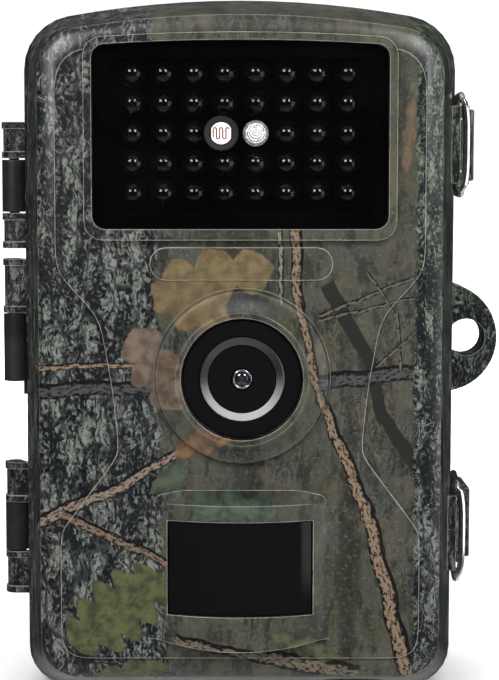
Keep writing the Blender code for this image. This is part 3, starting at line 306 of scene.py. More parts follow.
def bark(g, across, up, light=BARK_LIGHT, flake=0.5):
    """Furrowed bark: broken upright plates, light on their ridges, over dark cracks."""
    wave = g.sub(g.noise(g.vector(across, g.mul(up, 0.7)), 3.2, 3), 0.5)
    bent = g.add(across, g.mul(wave, 3.4))
    stretched = g.vector(bent, g.mul(up, 0.5))
    flakes = g.noise(stretched, flake, 3, 0.65, 0.6)
    plates = g.noise(g.vector(bent, g.mul(up, 0.28), 3.0), 2.1, 2)
    height = g.add(flakes, g.mul(g.sub(plates, 0.5), 0.55))
    ridge = g.step(height, 0.465, 0.525)
    furrow = g.step(g.cracks(g.vector(bent, g.mul(up, 0.3)), 2.3), 0.02, 0.10)
    patch = g.step(g.noise(g.vector(across, up, 7.0), 6.0, 3), 0.35, 0.65)
    tone = g.mix(patch, light, g.mix(0.62, BARK_DARK, light))
    tone = g.mix(g.step(height, 0.57, 0.63), tone, g.mix(0.10, light, BARK_GLINT))
    return g.mix(g.mul(ridge, g.remap(furrow, 0.0, 1.0, 0.2, 1.0)), BARK_DARK, tone)


def local_axes(g, across, up, origin, angle):
    """Distances along and beside a line that starts at origin and points at angle (radians)."""
    dx, dz = g.sub(across, origin[0]), g.sub(up, origin[1])
    c, s = math.cos(angle), math.sin(angle)
    return g.add(g.mul(dx, c), g.mul(dz, s)), g.sub(g.mul(dz, c), g.mul(dx, s))


def branch(g, across, up, below, start, end, half_start, half_end, light, dark):
    """A grainy stick from start to end, laid over the colour below it."""
    length = math.dist(start, end)
    angle = math.atan2(end[1] - start[1], end[0] - start[0])
    along, beside = local_axes(g, across, up, start, angle)
    wobble = g.sub(g.noise(g.vector(along, start[0]), 6.0, 3), 0.5)
    beside = g.add(beside, g.mul(wobble, 0.8 + 0.8 * half_end))
    half = g.remap(along, 0, length, half_start, half_end)
    share = g.math("DIVIDE", beside, half)
    body = g.step(g.math("ABSOLUTE", share), 1.0, 0.86)
    ends = g.mul(g.step(along, -0.6, 0.2), g.step(along, length + 0.6, length - 0.2))
    grain = g.noise(g.vector(g.mul(along, 0.55), g.mul(beside, 1.3)), 0.62, 4, 0.75)
    shade = g.step(g.math("ABSOLUTE", g.add(share, 0.12)), 0.35, 1.0)
    lit = g.step(g.sub(grain, g.mul(shade, 0.22)), 0.43, 0.50)
    return g.mix(g.mul(body, ends), below, g.mix(lit, dark, light))


def leaf(g, across, up, below, middle, turn, half_length, half_width, lobes, light, dark):
    """A lobed leaf with a vein, ribs and a dark rim, laid over the colour below it."""
    along, beside = local_axes(g, across, up, middle, math.radians(turn))
    share = g.math("DIVIDE", along, half_length)
    taper = g.math("SQRT", g.math("MAXIMUM", g.sub(1.0, g.mul(share, share)), 0.0))
    lobe = g.math("ABSOLUTE", g.math("COSINE", g.mul(share, lobes * math.pi / 2)))
    scallop = g.add(0.48, g.mul(g.math("POWER", lobe, 0.8), 0.52))
    half = g.mul(g.mul(taper, scallop), half_width)
    side = g.math("ABSOLUTE", g.add(beside, g.mul(g.sub(g.noise(g.vector(across, up), 3.4, 2), 0.5), 3.0)))
    body = g.step(g.sub(half, side), -0.05, 0.25)
    vein = g.step(side, 0.30, 0.08)
    ribs = g.math("SINE", g.mul(g.sub(along, g.mul(side, 0.8)), 2.6))
    veins = g.math("MAXIMUM", vein, g.mul(g.step(ribs, 0.9, 1.0), 0.5))
    mottle = g.step(g.noise(g.vector(across, up), 2.6, 4, 0.6), 0.36, 0.64)
    inside = g.mix(g.mul(veins, 0.5), g.mix(mottle, dark, light), light)
    rim = g.step(g.sub(half, side), 0.6, 0.1)
    return g.mix(body, below, g.mix(g.mul(rim, 0.5), inside, dark))


def camouflage(g):
    """A woodland print: furrowed trunks at both sides, soft forest between, branches and leaves in front."""
    across, up = wrapped_position(g)
    plane = g.vector(across, up)
    haze = g.noise(plane, 17.0, 2, 0.5, 0.4)
    forest = g.mix(g.step(haze, 0.36, 0.64), MOSS, SLATE)
    clearing = g.noise(g.vector(across, g.mul(up, 0.55), 9.0), 11.0, 2)
    forest = g.mix(g.step(clearing, 0.50, 0.66), forest, OLIVE)
    stems = g.noise(g.vector(across, g.mul(up, 0.10), 4.0), 6.0, 1)
    forest = g.mix(g.mul(g.step(stems, 0.54, 0.68), 0.75), forest, DUSK)
    brush = g.noise(g.vector(across, g.mul(up, 0.35), 2.0), 2.2, 5, 0.7)
    forest = g.mix(g.mul(g.step(brush, 0.48, 0.60), 0.75), forest, BRUSH)
    warm = g.mul(g.step(g.noise(plane, 8.0, 3), 0.52, 0.66), 0.55)
    forest = g.mix(warm, forest, LITTER)
    forest = g.mix(g.mul(g.step(g.noise(plane, 0.8, 4, 0.7), 0.52, 0.66), 0.4), forest, FLECK)
    thicket = g.noise(g.vector(across, g.mul(up, 0.45), 6.0), 1.5, 5, 0.75, 1.2)
    tangle = g.step(g.math("ABSOLUTE", g.sub(thicket, 0.5)), 0.030, 0.012)
    forest = g.mix(g.mul(tangle, g.step(haze, 0.44, 0.60)), forest, TANGLE)
    rough_edge = g.mul(g.sub(g.noise(plane, 5.0, 4, 0.6), 0.5), 5.0)
    trunk_left = g.step(g.add(g.add(across, g.mul(up, 0.02)), rough_edge), -13.2, -14.2)
    trunk_right = g.step(g.add(across, g.mul(rough_edge, 0.6)), 32.0, 32.6)
    print_colour = g.mix(trunk_left, forest, bark(g, across, up))
    lichen = g.mix(g.step(up, 50.0, 90.0), LICHEN_LOW, LICHEN_HIGH)
    for shape in BRANCHES:
        print_colour = branch(g, across, up, print_colour, *shape)
    for shape in LEAVES:
        print_colour = leaf(g, across, up, print_colour, *shape)
    print_colour = g.mix(trunk_right, print_colour, bark(g, across, up, lichen, 0.4))
    sprigs = g.step(g.noise(plane, 1.3, 5, 0.75), 0.62, 0.68)
    clumps = g.step(g.noise(plane, 15.0, 1), 0.50, 0.58)
    return g.mix(g.mul(g.mul(sprigs, clumps), g.step(across, 22.0, 30.0)), print_colour, SPRIG)


def camo_plastic():
    """The printed casing: satin plastic with a fine grain, paler along its edges, partly from wear and
    partly as a painted highlight.
    """
    g = Graph("camo_print")
    spot = g.millimetres()
    grain = g.noise(spot, 0.25, 3)
    wear = g.noise(spot, 9.0, 4, 0.6)
    g.bump(grain, 0.008, 0.28)
    roughness = g.add(g.remap(wear, 0.3, 0.7, 0.24, 0.34), g.mul(grain, 0.05))
    ink = g.mix(INK, BLACK, camouflage(g))
    # Edges, hollow ones too, are painted paler: partly wear, partly a painted highlight.
    edge_wear_and_highlight = g.mul(g.edges(0.26), g.remap(g.noise(spot, 3.0, 3), 0.3, 0.7, 0.4, 0.95))
    return g.finish(g.mix(edge_wear_and_highlight, ink, EDGE_WEAR_AND_HIGHLIGHT), g.sub(roughness, g.mul(edge_wear_and_highlight, 0.08)),
                    Specular_IOR_Level=0.36)


# ---------------------------------------------------------------- other finishes


def moulded_plastic(name, colour, roughness, grain_size=0.3, grain_depth=0.01, soften=0.25):
    """Plain moulded plastic: fine grain, faint cloudiness and a little handling wear."""
    g = Graph(name)
    spot = g.millimetres()
    cloud = g.noise(spot, 6.0, 4)
    grain = g.noise(spot, grain_size, 2)
    light = tuple(min(1.0, c * 1.35 + 0.004) for c in colour)
    g.bump(grain, grain_depth, soften)
    level = g.add(g.remap(cloud, 0.3, 0.7, roughness - 0.05, roughness + 0.07), g.mul(grain, 0.05))
    return g.finish(g.mix(g.step(cloud, 0.35, 0.7), colour, light), level)


def black_gloss():
    """Polished black plastic with faint smears and specks of dust."""
    g = Graph("polished_black")
    spot = g.millimetres()
    smear = g.noise(spot, 7.0, 4, 0.6)
    dust = g.step(g.noise(spot, 0.22, 2), 0.74, 0.8)
    g.bump(g.noise(spot, 12.0, 1), 0.01)
    colour = g.mix(g.mul(dust, 0.15), (0.0035, 0.0035, 0.004), (0.06, 0.06, 0.06))
    level = g.add(g.remap(smear, 0.3, 0.7, 0.04, 0.10), g.mul(dust, 0.2))
    return g.finish(colour, level, Specular_IOR_Level=0.15)


def metal(name, colour, roughness, brushed_along=(1.0, 1.0, 1.0)):
    """Bare metal with faint tarnish. Its scratches run along the axis that brushed_along shrinks."""
    g = Graph(name)
    x, y, z = g.split(g.millimetres())
    along_x, along_y, along_z = brushed_along
    stretched = g.vector(g.mul(x, along_x), g.mul(y, along_y), g.mul(z, along_z))
    lines = g.noise(stretched, 0.12, 3)
    tarnish = g.noise(g.millimetres(), 4.0, 4)
    g.bump(lines, 0.003, 0.1)
    dark = tuple(c * 0.78 for c in colour)
    level = g.remap(lines, 0.2, 0.8, roughness - 0.04, roughness + 0.08)
    return g.finish(g.mix(g.step(tarnish, 0.35, 0.7), dark, colour), level, Metallic=1.0)


def circuit_board():
    """Green solder mask over upright tracks that step sideways, with tinned pads."""
    g = Graph("solder_mask")
    x, _, z = g.split(g.millimetres())
    plane = g.vector(x, z)
    jog = g.mul(g.step(g.noise(plane, 9.0, 1), 0.45, 0.5), 2.0)
    ripple = g.math("SINE", g.mul(g.add(x, jog), 2.4))
    tracks = g.step(g.math("ABSOLUTE", ripple), 0.93, 0.97)
    pads = g.step(g.cracks(plane, 2.2), 0.40, 0.43)
    colour = g.mix(g.mul(tracks, 0.5), (0.008, 0.05, 0.022), (0.02, 0.10, 0.045))
    colour = g.mix(pads, colour, (0.55, 0.55, 0.52))
    g.bump(g.math("MAXIMUM", tracks, pads), 0.03)
    return g.finish(colour, g.remap(g.noise(plane, 3.0), 0.3, 0.7, 0.3, 0.45), Metallic=g.mul(pads, 0.8))


def clear_plastic():
    """Clear moulded plastic with a faint swirl."""
    g = Graph("clear_moulding")
    spot = g.millimetres()
    swirl = g.noise(spot, 5.0, 3)
    g.bump(g.noise(spot, 2.0, 2), 0.01)
    tint = g.mix(swirl, (0.93, 0.94, 0.95), (0.98, 0.98, 0.99))
    return g.finish(tint, g.remap(swirl, 0.3, 0.7, 0.02, 0.06), Transmission_Weight=1.0, IOR=1.49)


def battery_sleeve():
    """A plain grey sleeve with a blue-green ring near one end and bare metal at both ends."""
    g = Graph("cell_sleeve")
    height = g.split(g.place.outputs["Generated"])[2]  # as a share of the cell's height
    scuff = g.noise(g.millimetres(), 1.5, 5, 0.7)
    sleeve = g.mix(g.step(scuff, 0.5, 0.8), (0.20, 0.21, 0.22), (0.28, 0.29, 0.30))
    ring = g.mul(g.step(height, 0.78, 0.785), g.step(height, 0.90, 0.895))
    colour = g.mix(ring, sleeve, (0.02, 0.16, 0.15))
    ends = g.math("MAXIMUM", g.step(height, 0.968, 0.972), g.step(height, 0.012, 0.008))
    g.bump(scuff, 0.01)
    return g.finish(g.mix(ends, colour, (0.6, 0.6, 0.58)), g.remap(scuff, 0.3, 0.7, 0.25, 0.4),
                    Metallic=g.math("MAXIMUM", ends, 0.3))


def sensor_face():
    """The pale disc of the light sensor, cut off at both sides, inside its matt black collar."""
    g = Graph("light_sensor_face")
    beside = g.math("ABSOLUTE", g.sub(g.split(g.millimetres())[0], LIGHT_SENSOR[0]))
    disc = g.mul(g.step(g.distance_from(LIGHT_SENSOR), 2.02, 1.94), g.step(beside, 1.80, 1.74))
    cloud = g.noise(g.millimetres(), 0.8, 3)
    pale = g.mix(cloud, (0.60, 0.54, 0.50), (0.78, 0.73, 0.70))
    g.bump(cloud, 0.006)
    level = g.add(g.remap(disc, 0.0, 1.0, 0.6, 0.3), g.mul(cloud, 0.1))
    return g.finish(g.mix(disc, (0.012, 0.012, 0.013), pale), level,
                    Specular_IOR_Level=g.remap(disc, 0.0, 1.0, 0.15, 0.5))


def lens_coating():
    """Coated lens glass: black with a faint violet bloom in the middle."""
    g = Graph("lens_coating")
    bloom = g.step(g.distance_from(LENS), 1.0, 0.1)
    cloud = g.noise(g.millimetres(), 0.5, 3)
    g.bump(cloud, 0.001)
    colour = g.mix(bloom, (0.003, 0.003, 0.004), (0.022, 0.015, 0.028))
    return g.finish(colour, g.remap(cloud, 0.3, 0.7, 0.02, 0.06), Coat_Weight=1.0, Coat_Roughness=0.02)


def brushed_ring():
    """Metal turned on a lathe: fine rings, so that light makes two bright fans."""
    g = Graph("turned_metal")
    lines = g.noise(g.vector(g.distance_from(LENS), 0.0), 0.035, 2)
    g.bump(lines, 0.002)
    around = g.tree.nodes.new("ShaderNodeTangent")
    around.direction_type = "RADIAL"
    around.axis = "Y"
    colour = g.mix(lines, (0.075, 0.075, 0.075), (0.14, 0.14, 0.14))
    return g.finish(colour, g.remap(lines, 0.2, 0.8, 0.24, 0.36), Metallic=1.0, Anisotropic=0.85,
                    Tangent=around.outputs[0])


def smoked_window():
    """Smoked plastic that the lamps just show through."""
    g = Graph("smoked_window")
    spot = g.millimetres()
    smear = g.noise(spot, 14.0, 4, 0.6)
    g.bump(g.noise(spot, 20.0, 1), 0.01)
    colour = g.mix(g.step(smear, 0.4, 0.8), (0.001, 0.001, 0.0012), (0.003, 0.003, 0.0035))
    return g.finish(colour, g.remap(smear, 0.3, 0.7, 0.03, 0.08), Alpha=0.35, Specular_IOR_Level=0.2)


def lamp_resin():
    """The dark clear resin of an infrared lamp."""
    g = Graph("lamp_resin")
    cloud = g.noise(g.millimetres(), 0.8, 3)
    g.bump(cloud, 0.001)
    colour = g.mix(cloud, (0.003, 0.003, 0.004), (0.007, 0.006, 0.008))
    return g.finish(colour, g.remap(cloud, 0.3, 0.7, 0.06, 0.11), Specular_IOR_Level=1.0, Coat_Weight=1.0,
                    Coat_Roughness=0.03)


def lamp_mask():
    """The matt black face of the lamp board and of the casing's ledge round it."""
    g = Graph("lamp_mask")
    grain = g.noise(g.millimetres(), 0.3, 3)
    g.bump(grain, 0.004)
    colour = g.mix(grain, (0.0004, 0.0004, 0.0005), (0.0012, 0.0012, 0.0013))
    return g.finish(colour, g.remap(grain, 0.3, 0.7, 0.7, 0.85), Specular_IOR_Level=0.05)


def faceted_silver():
    """The white lamp: a clear dome over a pale stepped and faceted cup, with painted reflections as bright
    rings on it.
    """
    g = Graph("faceted_silver")
    x, _, z = g.split(g.millimetres())
    plane = g.vector(x, z)
    facets = g.cracks(plane, 0.7)
    wander = g.mul(g.noise(plane, 0.8, 2), 0.5)
    rings = g.math("SINE", g.mul(g.add(g.distance_from(WHITE_LAMP), wander), 13.0))
    # Bright rings on the cup are painted reflections, broken at the facet edges.
    painted_ring_reflection = g.mul(g.step(rings, -0.9, 0.6), g.step(facets, 0.0, 0.12))
    g.bump(g.add(rings, g.step(facets, 0.0, 0.4)), 0.05)
    colour = g.mix(painted_ring_reflection, (0.30, 0.30, 0.30), (0.92, 0.92, 0.93))
    return g.finish(colour, g.remap(facets, 0.0, 0.5, 0.35, 0.12), Metallic=0.35, Coat_Weight=1.0,
                    Coat_Roughness=0.03)


def screen_glass():
    """A screen that is switched off: bluish black with a faint pixel weave, a dark frame and broad patches
    of painted sheen.
    """
    g = Graph("screen_off")
    x, _, z = g.split(g.millimetres())
    weave = g.mul(g.math("SINE", g.mul(x, 30.0)), g.math("SINE", g.mul(z, 30.0)))
    half_width, half_height, middle = 24.6, 18.0, 97.5
    past_side = g.step(g.math("ABSOLUTE", x), half_width, half_width + 0.2)
    past_end = g.step(g.math("ABSOLUTE", g.sub(z, middle)), half_height, half_height + 0.2)
    frame = g.math("MAXIMUM", past_side, past_end)
    # Broad lighter patches on the glass are a painted sheen.
    glow = g.noise(g.millimetres(), 30.0, 2)
    colour = g.mix(g.step(glow, 0.3, 0.7), (0.012, 0.016, 0.022), (0.020, 0.026, 0.034))
    g.bump(weave, 0.0008)
    return g.finish(g.mix(frame, colour, (0.003, 0.003, 0.003)), g.remap(weave, -1.0, 1.0, 0.12, 0.22))


# ---------------------------------------------------------------- new pieces


def new_object(name, bm, material, body, smooth_angle=35):
    """Turns the built shape into a named object that rides on a body of the frame, if one is given."""
    bmesh.ops.recalc_face_normals(bm, faces=bm.faces)
    mesh = bpy.data.meshes.new(name)
    bm.to_mesh(mesh)
    bm.free()
    obj = bpy.data.objects.new(name, mesh)
    bpy.context.scene.collection.objects.link(obj)
    mesh.materials.append(material)
    shaded(obj, smooth_angle)
    if body:
        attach(obj, body)
    return obj


def shaded(obj, angle=35):
    """Smooth faces with the real edges kept: points welded, then split at edges sharper than angle."""
    mesh = obj.data
    flat = mesh.attributes.get("custom_normal")
    if flat:
        mesh.attributes.remove(flat)
    mesh.polygons.foreach_set("use_smooth", [True] * len(mesh.polygons))
    weld = obj.modifiers.new("weld", "WELD")
    weld.merge_threshold = 0.001 * MM
    edges = obj.modifiers.new("edges", "EDGE_SPLIT")
    edges.split_angle = math.radians(angle)


def turned(bm, profile, place, sides, closed=False):
    """Adds a shape turned about a front-to-back axis through place, which is (across, up).

    The profile holds (radius, y) from back to front. A closed one joins its end to its start, and
    any other is capped at both ends.
    """
    turns = [2 * math.pi * i / sides for i in range(sides)]
    rings = []
    for radius, y in profile:
        around = [(place[0] + radius * math.cos(a), place[1] + radius * math.sin(a)) for a in turns]
        rings.append([bm.verts.new((x * MM, y * MM, z * MM)) for x, z in around])
    following = rings[1:] + rings[:1] if closed else rings[1:]
    for low, high in zip(rings, following):
        for i in range(sides):
            j = (i + 1) % sides
            bm.faces.new((low[i], low[j], high[j], high[i]))
    if not closed:
        bm.faces.new(rings[0])
        bm.faces.new(rings[-1])


def prism(bm, outline, y0, y1):
    """Adds a flat plate whose outline holds (x, z) and which runs from y0 to y1, all in millimetres."""
    back = [bm.verts.new((x * MM, y0 * MM, z * MM)) for x, z in outline]
    front = [bm.verts.new((x * MM, y1 * MM, z * MM)) for x, z in outline]
    count = len(outline)
    for i in range(count):
        j = (i + 1) % count
        bm.faces.new((back[i], back[j], front[j], front[i]))
    bm.faces.new(back)
    bm.faces.new(front)


def tube(name, points, radius, material, body):
    """A round wire through the points, in millimetres."""
    curve = bpy.data.curves.new(name, "CURVE")
    curve.dimensions = "3D"
    curve.bevel_depth = radius * MM
    curve.bevel_resolution = 3
    curve.use_fill_caps = True
    line = curve.splines.new("POLY")
    line.points.add(len(points) - 1)
    for spot, (x, y, z) in zip(line.points, points):
        spot.co = (x * MM, y * MM, z * MM, 1.0)
    helper = bpy.data.objects.new(name + "_path", curve)
    mesh = bpy.data.meshes.new_from_object(helper)
    mesh.name = name
    bpy.data.objects.remove(helper)
    obj = bpy.data.objects.new(name, mesh)
    bpy.context.scene.collection.objects.link(obj)
    mesh.materials.clear()
    mesh.materials.append(material)
    shaded(obj)
    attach(obj, body)
    return obj


def lamp_places():
    """The 38 lamps: eight by five, less the two places of the light sensor and the white lamp."""
    columns, middle_columns = 8, (3, 4)
    for row in range(-2, 3):
        for column in range(columns):
            if row == 0 and column in middle_columns:
                continue
            yield (column - (columns - 1) / 2) * LAMP_PITCH[0], LAMP_MIDDLE + row * LAMP_PITCH[1]


def lamps(materials):
    """Smooth lamp domes on a black board, in place of the plainer ones of the fixed frame."""
    radius, flange, tip_radius = 2.15, 2.45, 0.08
    base, flange_top, shoulder, tip = -26.1, -26.8, -27.5, -29.45
    dome = [(flange, base), (flange, flange_top), (radius, flange_top), (radius, shoulder)]
    steps, sides = 8, 20
    for i in range(1, steps):
        angle = math.pi / 2 * i / steps
        dome.append((radius * math.cos(angle), shoulder + (tip - shoulder) * math.sin(angle)))
    dome.append((tip_radius, tip))
    bm = bmesh.new()
    for place in lamp_places():
        turned(bm, dome, place, sides)
    domes = new_object("lamp_domes", bm, materials["lamp_resin"], "front_half", smooth_angle=40)
    low, high = (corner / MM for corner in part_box("led_board"))
    cut = 1.0  # off each corner of the board
    outline = [
        (low.x + cut, low.z), (high.x - cut, low.z), (high.x, low.z + cut), (high.x, high.z - cut),
        (high.x - cut, high.z), (low.x + cut, high.z), (low.x, high.z - cut), (low.x, low.z + cut),
    ]
    bm = bmesh.new()
    prism(bm, outline, high.y, base)
    board = new_object("lamp_board_face", bm, materials["lamp_mask"], "front_half")
    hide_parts("led_board")


def lens_glass(materials):
    """The bulging front glass of the small lens and the rounded rim that holds it."""
    steps, sides = 8, 40
    radius, tip_radius, edge, bulge = 1.25, 0.05, -34.8, 0.42
    dome = [(radius + 0.05, edge + 0.1)]
    for i in range(steps):
        angle = math.pi / 2 * i / steps
        dome.append((radius * math.cos(angle), edge - bulge * math.sin(angle)))
    bm = bmesh.new()
    turned(bm, dome + [(tip_radius, edge - bulge)], LENS, sides)
    glass = new_object("lens_glass", bm, materials["glass"], "front_half", smooth_angle=40)
    middle, half_width, root, crown, rise = 1.62, 0.24, -34.5, -35.05, 0.3
    rim = [(middle + half_width, root)]
    for i in range(steps + 1):
        angle = math.pi * i / steps
        rim.append((middle + half_width * math.cos(angle), crown - rise * math.sin(angle)))
    rim.append((middle - half_width, root))
    bm = bmesh.new()
    turned(bm, rim, LENS, sides, closed=True)
    ring = new_object("lens_rim", bm, materials["rim"], "front_half", smooth_angle=60)


def sensor_track(materials):
    """The dark red track that winds to and fro on the light sensor's face."""
    columns, pitch, half_height, half_thick, y, turn_steps = 6, 0.58, 0.72, 0.12, -31.52, 6
    across, up = LIGHT_SENSOR
    half_span = (columns - 1) / 2 * pitch
    points = [(across - half_span, y, up - half_height)]
    for column in range(columns - 1):
        x = across + (column + 0.5) * pitch - half_span
        side = 1 if column % 2 == 0 else -1
        for i in range(turn_steps + 1):
            angle = math.pi * i / turn_steps
            dx, dz = math.cos(angle) * pitch / 2, math.sin(angle) * pitch / 2
            points.append((x - dx, y, up + side * (half_height + dz)))
    points.append((across + half_span, y, up + half_height))
    track = tube("sensor_track", points, half_thick, materials["track_red"], "front_half")


ARROWS = {"up": 0, "down": 180, "left": -90, "right": 90}  # each arrow's turn in degrees


def arrow(turn, size):
    """The outline of a triangle that points up, turned anticlockwise by that many degrees."""
    turns = [math.radians(90 + turn + 120 * i) for i in range(3)]
    return [(size * math.cos(a), size * math.sin(a)) for a in turns]


def key_marks(materials):
    """Plain symbols on the keys: arrows, a dot for confirm and three bars for the menu."""
    dot_radius, dot_sides = 0.9, 20
    turns = [2 * math.pi * i / dot_sides for i in range(dot_sides)]
    dot = [(dot_radius * math.cos(a), dot_radius * math.sin(a)) for a in turns]
    half, thick, bottoms, arrow_size = 1.4, 0.45, (-1.15, -0.22, 0.71), 1.6
    bars = [[(-half, h), (half, h), (half, h + thick), (-half, h + thick)] for h in bottoms]
    marks = {name: [arrow(turn, arrow_size)] for name, turn in ARROWS.items()}
    marks.update(ok=[dot], menu=bars)
    for name, outlines in marks.items():
        low, high = (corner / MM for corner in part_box("key_" + name))
        x, z = (low.x + high.x) / 2, (low.z + high.z) / 2
        sunk, proud = high.y - 0.1, high.y + 0.08
        bm = bmesh.new()
        for outline in outlines:
            prism(bm, [(x + px, z + pz) for px, pz in outline], sunk, proud)
        mark = new_object("key_mark_" + name, bm, materials["mark_white"], "key_" + name + "_cap")


def bending_cable(nodes, materials):
    """A copy of the power cable with the rubber finish, in place of the one of the fixed frame."""
    rest = nodes["power_cable"]
    cable = bpy.data.objects.new("power_cable_bending", rest.data.copy())
    bpy.context.scene.collection.objects.link(cable)
    cable.data.materials.clear()
    cable.data.materials.append(materials["rubber"])
    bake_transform(cable)
    shaded(cable)
    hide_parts("power_cable")


# ---------------------------------------------------------------- dressing the fixed frame


def between(number, limits):
    return limits[0] < number < limits[1]


def inner_face(face):
    """True for a face on the inside of the casing, where the print isn't applied.

    Such a face lies within the casing's skin and doesn't look outward at the walls closest to it.
    """
    x, y, z = face.center / MM
    nx, ny, nz = face.normal
    if abs(x) > SKIN_ACROSS or not between(z, SKIN_UP) or not between(y, SKIN_DEEP):
        return False
    up = z - MIDDLE_UP
    outward = [0.0]
    if abs(x) > NEAR_SIDE:
        outward.append(math.copysign(nx, nx * x))
    if abs(up) > NEAR_END:
        outward.append(math.copysign(nz, nz * up))
    if abs(y) > NEAR_FRONT:
        outward.append(math.copysign(ny, ny * y))
    return max(outward) < 0.25


def behind_window(face):
    """True for the casing's ledge behind the lamp window, which is blacked out."""
    x, y, z = face.center / MM
    return abs(x) < LEDGE_ACROSS and between(z, LEDGE_UP) and between(y, LEDGE_DEEP)


# The finish for each material slot of the frame, and for the nodes that need another one
BY_SLOT = {
    "camo_plastic": "camo", "black_plastic": "black", "black_gloss": "gloss", "steel": "steel",
    "brass": "brass", "rubber": "rubber", "circuit_board": "board", "clear_plastic": "clear",
    "battery_sleeve": "sleeve", "sensor_face": "sensor",
}
BY_NODE = {
    "ir_window": "smoked", "lens_ring": "turned", "lens_barrel": "black", "white_led": "silver",
    "lcd_panel": "screen", "latch_bail_upper": "wire", "latch_bail_lower": "wire",
}


def dress(nodes, materials):
    """Gives every node of the frame its finish and smooth shading."""
    for name, obj in nodes.items():
        slots = obj.data.materials
        finish_name = BY_NODE.get(name) or BY_SLOT[slots[0].name.split(".")[0]]
        slots.clear()
        slots.append(materials[finish_name])
        if name in ("front_shell", "back_shell"):
            slots.append(materials["inside"])
            slots.append(materials["lamp_mask"])
            for face in obj.data.polygons:
                face.material_index = 2 if behind_window(face) else int(inner_face(face))
        shaded(obj)


def all_materials():
    """Every finish under its short name."""
    return {
        "camo": camo_plastic(),
        "inside": moulded_plastic("bare_plastic", (0.018, 0.019, 0.017), 0.45),
        "black": moulded_plastic("black_plastic_finish", (0.010, 0.010, 0.011), 0.32),
        "gloss": black_gloss(),
        "steel": metal("polished_steel", (0.66, 0.65, 0.64), 0.16, (1.0, 0.1, 1.0)),
        "wire": metal("bright_wire", (0.96, 0.95, 0.93), 0.15, (1.0, 1.0, 0.1)),
        "brass": metal("cast_brass", (0.75, 0.55, 0.24), 0.3),
        "rubber": moulded_plastic("soft_rubber", (0.014, 0.014, 0.014), 0.7, 0.4, 0.02),
        "board": circuit_board(),
        "clear": clear_plastic(),
        "sleeve": battery_sleeve(),
        "sensor": sensor_face(),
        "smoked": smoked_window(),
        "turned": brushed_ring(),
        "glass": lens_coating(),
        "rim": metal("lens_rim_metal", (0.40, 0.40, 0.41), 0.14),
        "silver": faceted_silver(),
        "screen": screen_glass(),
        "lamp_resin": lamp_resin(),
        "lamp_mask": lamp_mask(),
        "track_red": moulded_plastic("track_red", (0.10, 0.010, 0.008), 0.4, 0.1, 0.003, 0.0),
        "mark_white": moulded_plastic("mark_white", (0.55, 0.55, 0.54), 0.5, 0.2, 0.004, 0.0),
    }


# ---------------------------------------------------------------- studio


def pale_floor():
    """A round pale floor that brightens with distance, so that it meets the white air with no horizon."""
    g = Graph("studio_floor")
    x, y, _ = g.split(g.millimetres())
    away = g.math("SQRT", g.add(g.mul(x, x), g.mul(y, y)))
    fibre = g.noise(g.millimetres(), 1.5, 4)
    g.bump(fibre, 0.02)
    paths = g.tree.nodes.new("ShaderNodeLightPath")
    near, far = 60.0, 700.0
    glow = g.mul(g.step(away, near, far), paths.outputs["Is Camera Ray"])
    g.finish(g.mix(fibre, (0.84, 0.84, 0.84), (0.88, 0.88, 0.88)), g.remap(fibre, 0.3, 0.7, 0.85, 0.95),
             Specular_IOR_Level=0.1, Emission_Color=WHITE, Emission_Strength=g.mul(glow, PAPER_WHITE))
    gap_below_object = 0.0002
    bm = bmesh.new()
    bmesh.ops.create_circle(bm, cap_ends=True, segments=96, radius=3.0)
    bmesh.ops.translate(bm, verts=bm.verts, vec=(0, 0, -gap_below_object))
    floor = new_object("studio_floor", bm, g.material, None, smooth_angle=60)
    floor.visible_glossy = False


def soft_light(name, place, target, width, height, watts, mirrored=True):
    """A rectangular softbox. One that isn't mirrored lights things without showing in shiny ones."""
    light = bpy.data.lights.new(name, "AREA")
    light.shape = "RECTANGLE"
    light.size, light.size_y = width, height
    light.energy = watts
    lamp = bpy.data.objects.new(name, light)
    lamp.location = place
    lamp.rotation_euler = (Vector(target) - Vector(place)).to_track_quat("-Z", "Y").to_euler()
    lamp.visible_glossy = mirrored
    bpy.context.scene.collection.objects.link(lamp)


def studio():
    """The floor, the softboxes in metres and watts, and the air. Standard view keeps white paper white."""
    pale_floor()
    middle = (0.0, 0.0, 0.07)
    soft_light("left_softbox", (-0.27, -0.56, 0.40), middle, 0.24, 0.22, 3.2)
    soft_light("right_softbox", (0.27, -0.56, 0.40), middle, 0.20, 0.22, 2.8)
    soft_light("top_softbox", (0.0, 0.05, 0.75), middle, 0.6, 0.4, 3.6)
    soft_light("front_fill", (0.0, -0.80, 0.25), middle, 0.9, 0.6, 3.0, mirrored=False)
    soft_light("right_card", (0.38, -0.22, 0.08), middle, 0.32, 0.30, 0.65)
    soft_light("back_softbox", (-0.10, 0.80, 0.40), middle, 0.7, 0.4, 5.5, mirrored=False)
    studio_air()
    bpy.context.scene.view_settings.view_transform = "Standard"


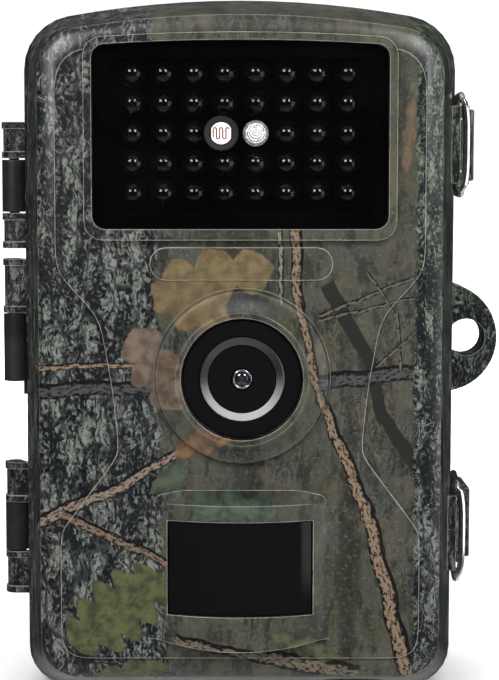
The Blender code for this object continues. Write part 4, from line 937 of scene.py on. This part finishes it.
def studio_air():
    """White air to the camera. Mirror-like parts see it dark at eye level and paler above and below."""
    world = bpy.data.worlds.new("studio_air")
    world.use_nodes = True
    bpy.context.scene.world = world
    tree = world.node_tree
    direction = tree.nodes.new("ShaderNodeTexCoord")
    height = tree.nodes.new("ShaderNodeSeparateXYZ")
    tree.links.new(direction.outputs["Generated"], height.inputs[0])
    ramp = tree.nodes.new("ShaderNodeValToRGB")
    stops = ((0.0, 0.75), (0.22, 0.55), (0.36, 0.02), (0.70, 0.03), (1.0, 0.5))  # height, brightness
    for _ in stops[2:]:
        ramp.color_ramp.elements.new(0.5)
    for element, (place, level) in zip(ramp.color_ramp.elements, stops):
        element.position = place
        element.color = (level, level, level, 1.0)
    share = tree.nodes.new("ShaderNodeMapRange")
    share.inputs["From Min"].default_value = -1.0
    tree.links.new(height.outputs["Z"], share.inputs["Value"])
    tree.links.new(share.outputs["Result"], ramp.inputs["Fac"])
    paths = tree.nodes.new("ShaderNodeLightPath")
    seen = tree.nodes.new("ShaderNodeMix")
    seen.data_type = "RGBA"
    tree.links.new(paths.outputs["Is Camera Ray"], seen.inputs[0])
    tree.links.new(ramp.outputs["Color"], seen.inputs[MIX_A])
    seen.inputs[MIX_B].default_value = (PAPER_WHITE, PAPER_WHITE, PAPER_WHITE, 1.0)
    tree.links.new(seen.outputs[MIX_RESULT], tree.nodes["Background"].inputs["Color"])


def camera():
    """Straight on from a little above. The lens shift places the object in the picture."""
    downward_tilt = 5.5
    data = bpy.data.cameras.new("camera")
    data.sensor_fit = "AUTO"
    data.sensor_width = 36.0
    data.lens = 101.3
    data.shift_x, data.shift_y = 0.0336, 0.0119
    data.clip_start = 0.01
    view = bpy.data.objects.new("camera", data)
    view.location = (-0.0025, -0.382, 0.1036)
    view.rotation_euler = (math.radians(90 - downward_tilt), 0.0, 0.0)
    bpy.context.scene.collection.objects.link(view)
    bpy.context.scene.camera = view


def main():
    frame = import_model()
    materials = all_materials()
    dress(frame["nodes"], materials)
    lamps(materials)
    lens_glass(materials)
    sensor_track(materials)
    key_marks(materials)
    bending_cable(frame["nodes"], materials)
    studio()
    camera()


main()
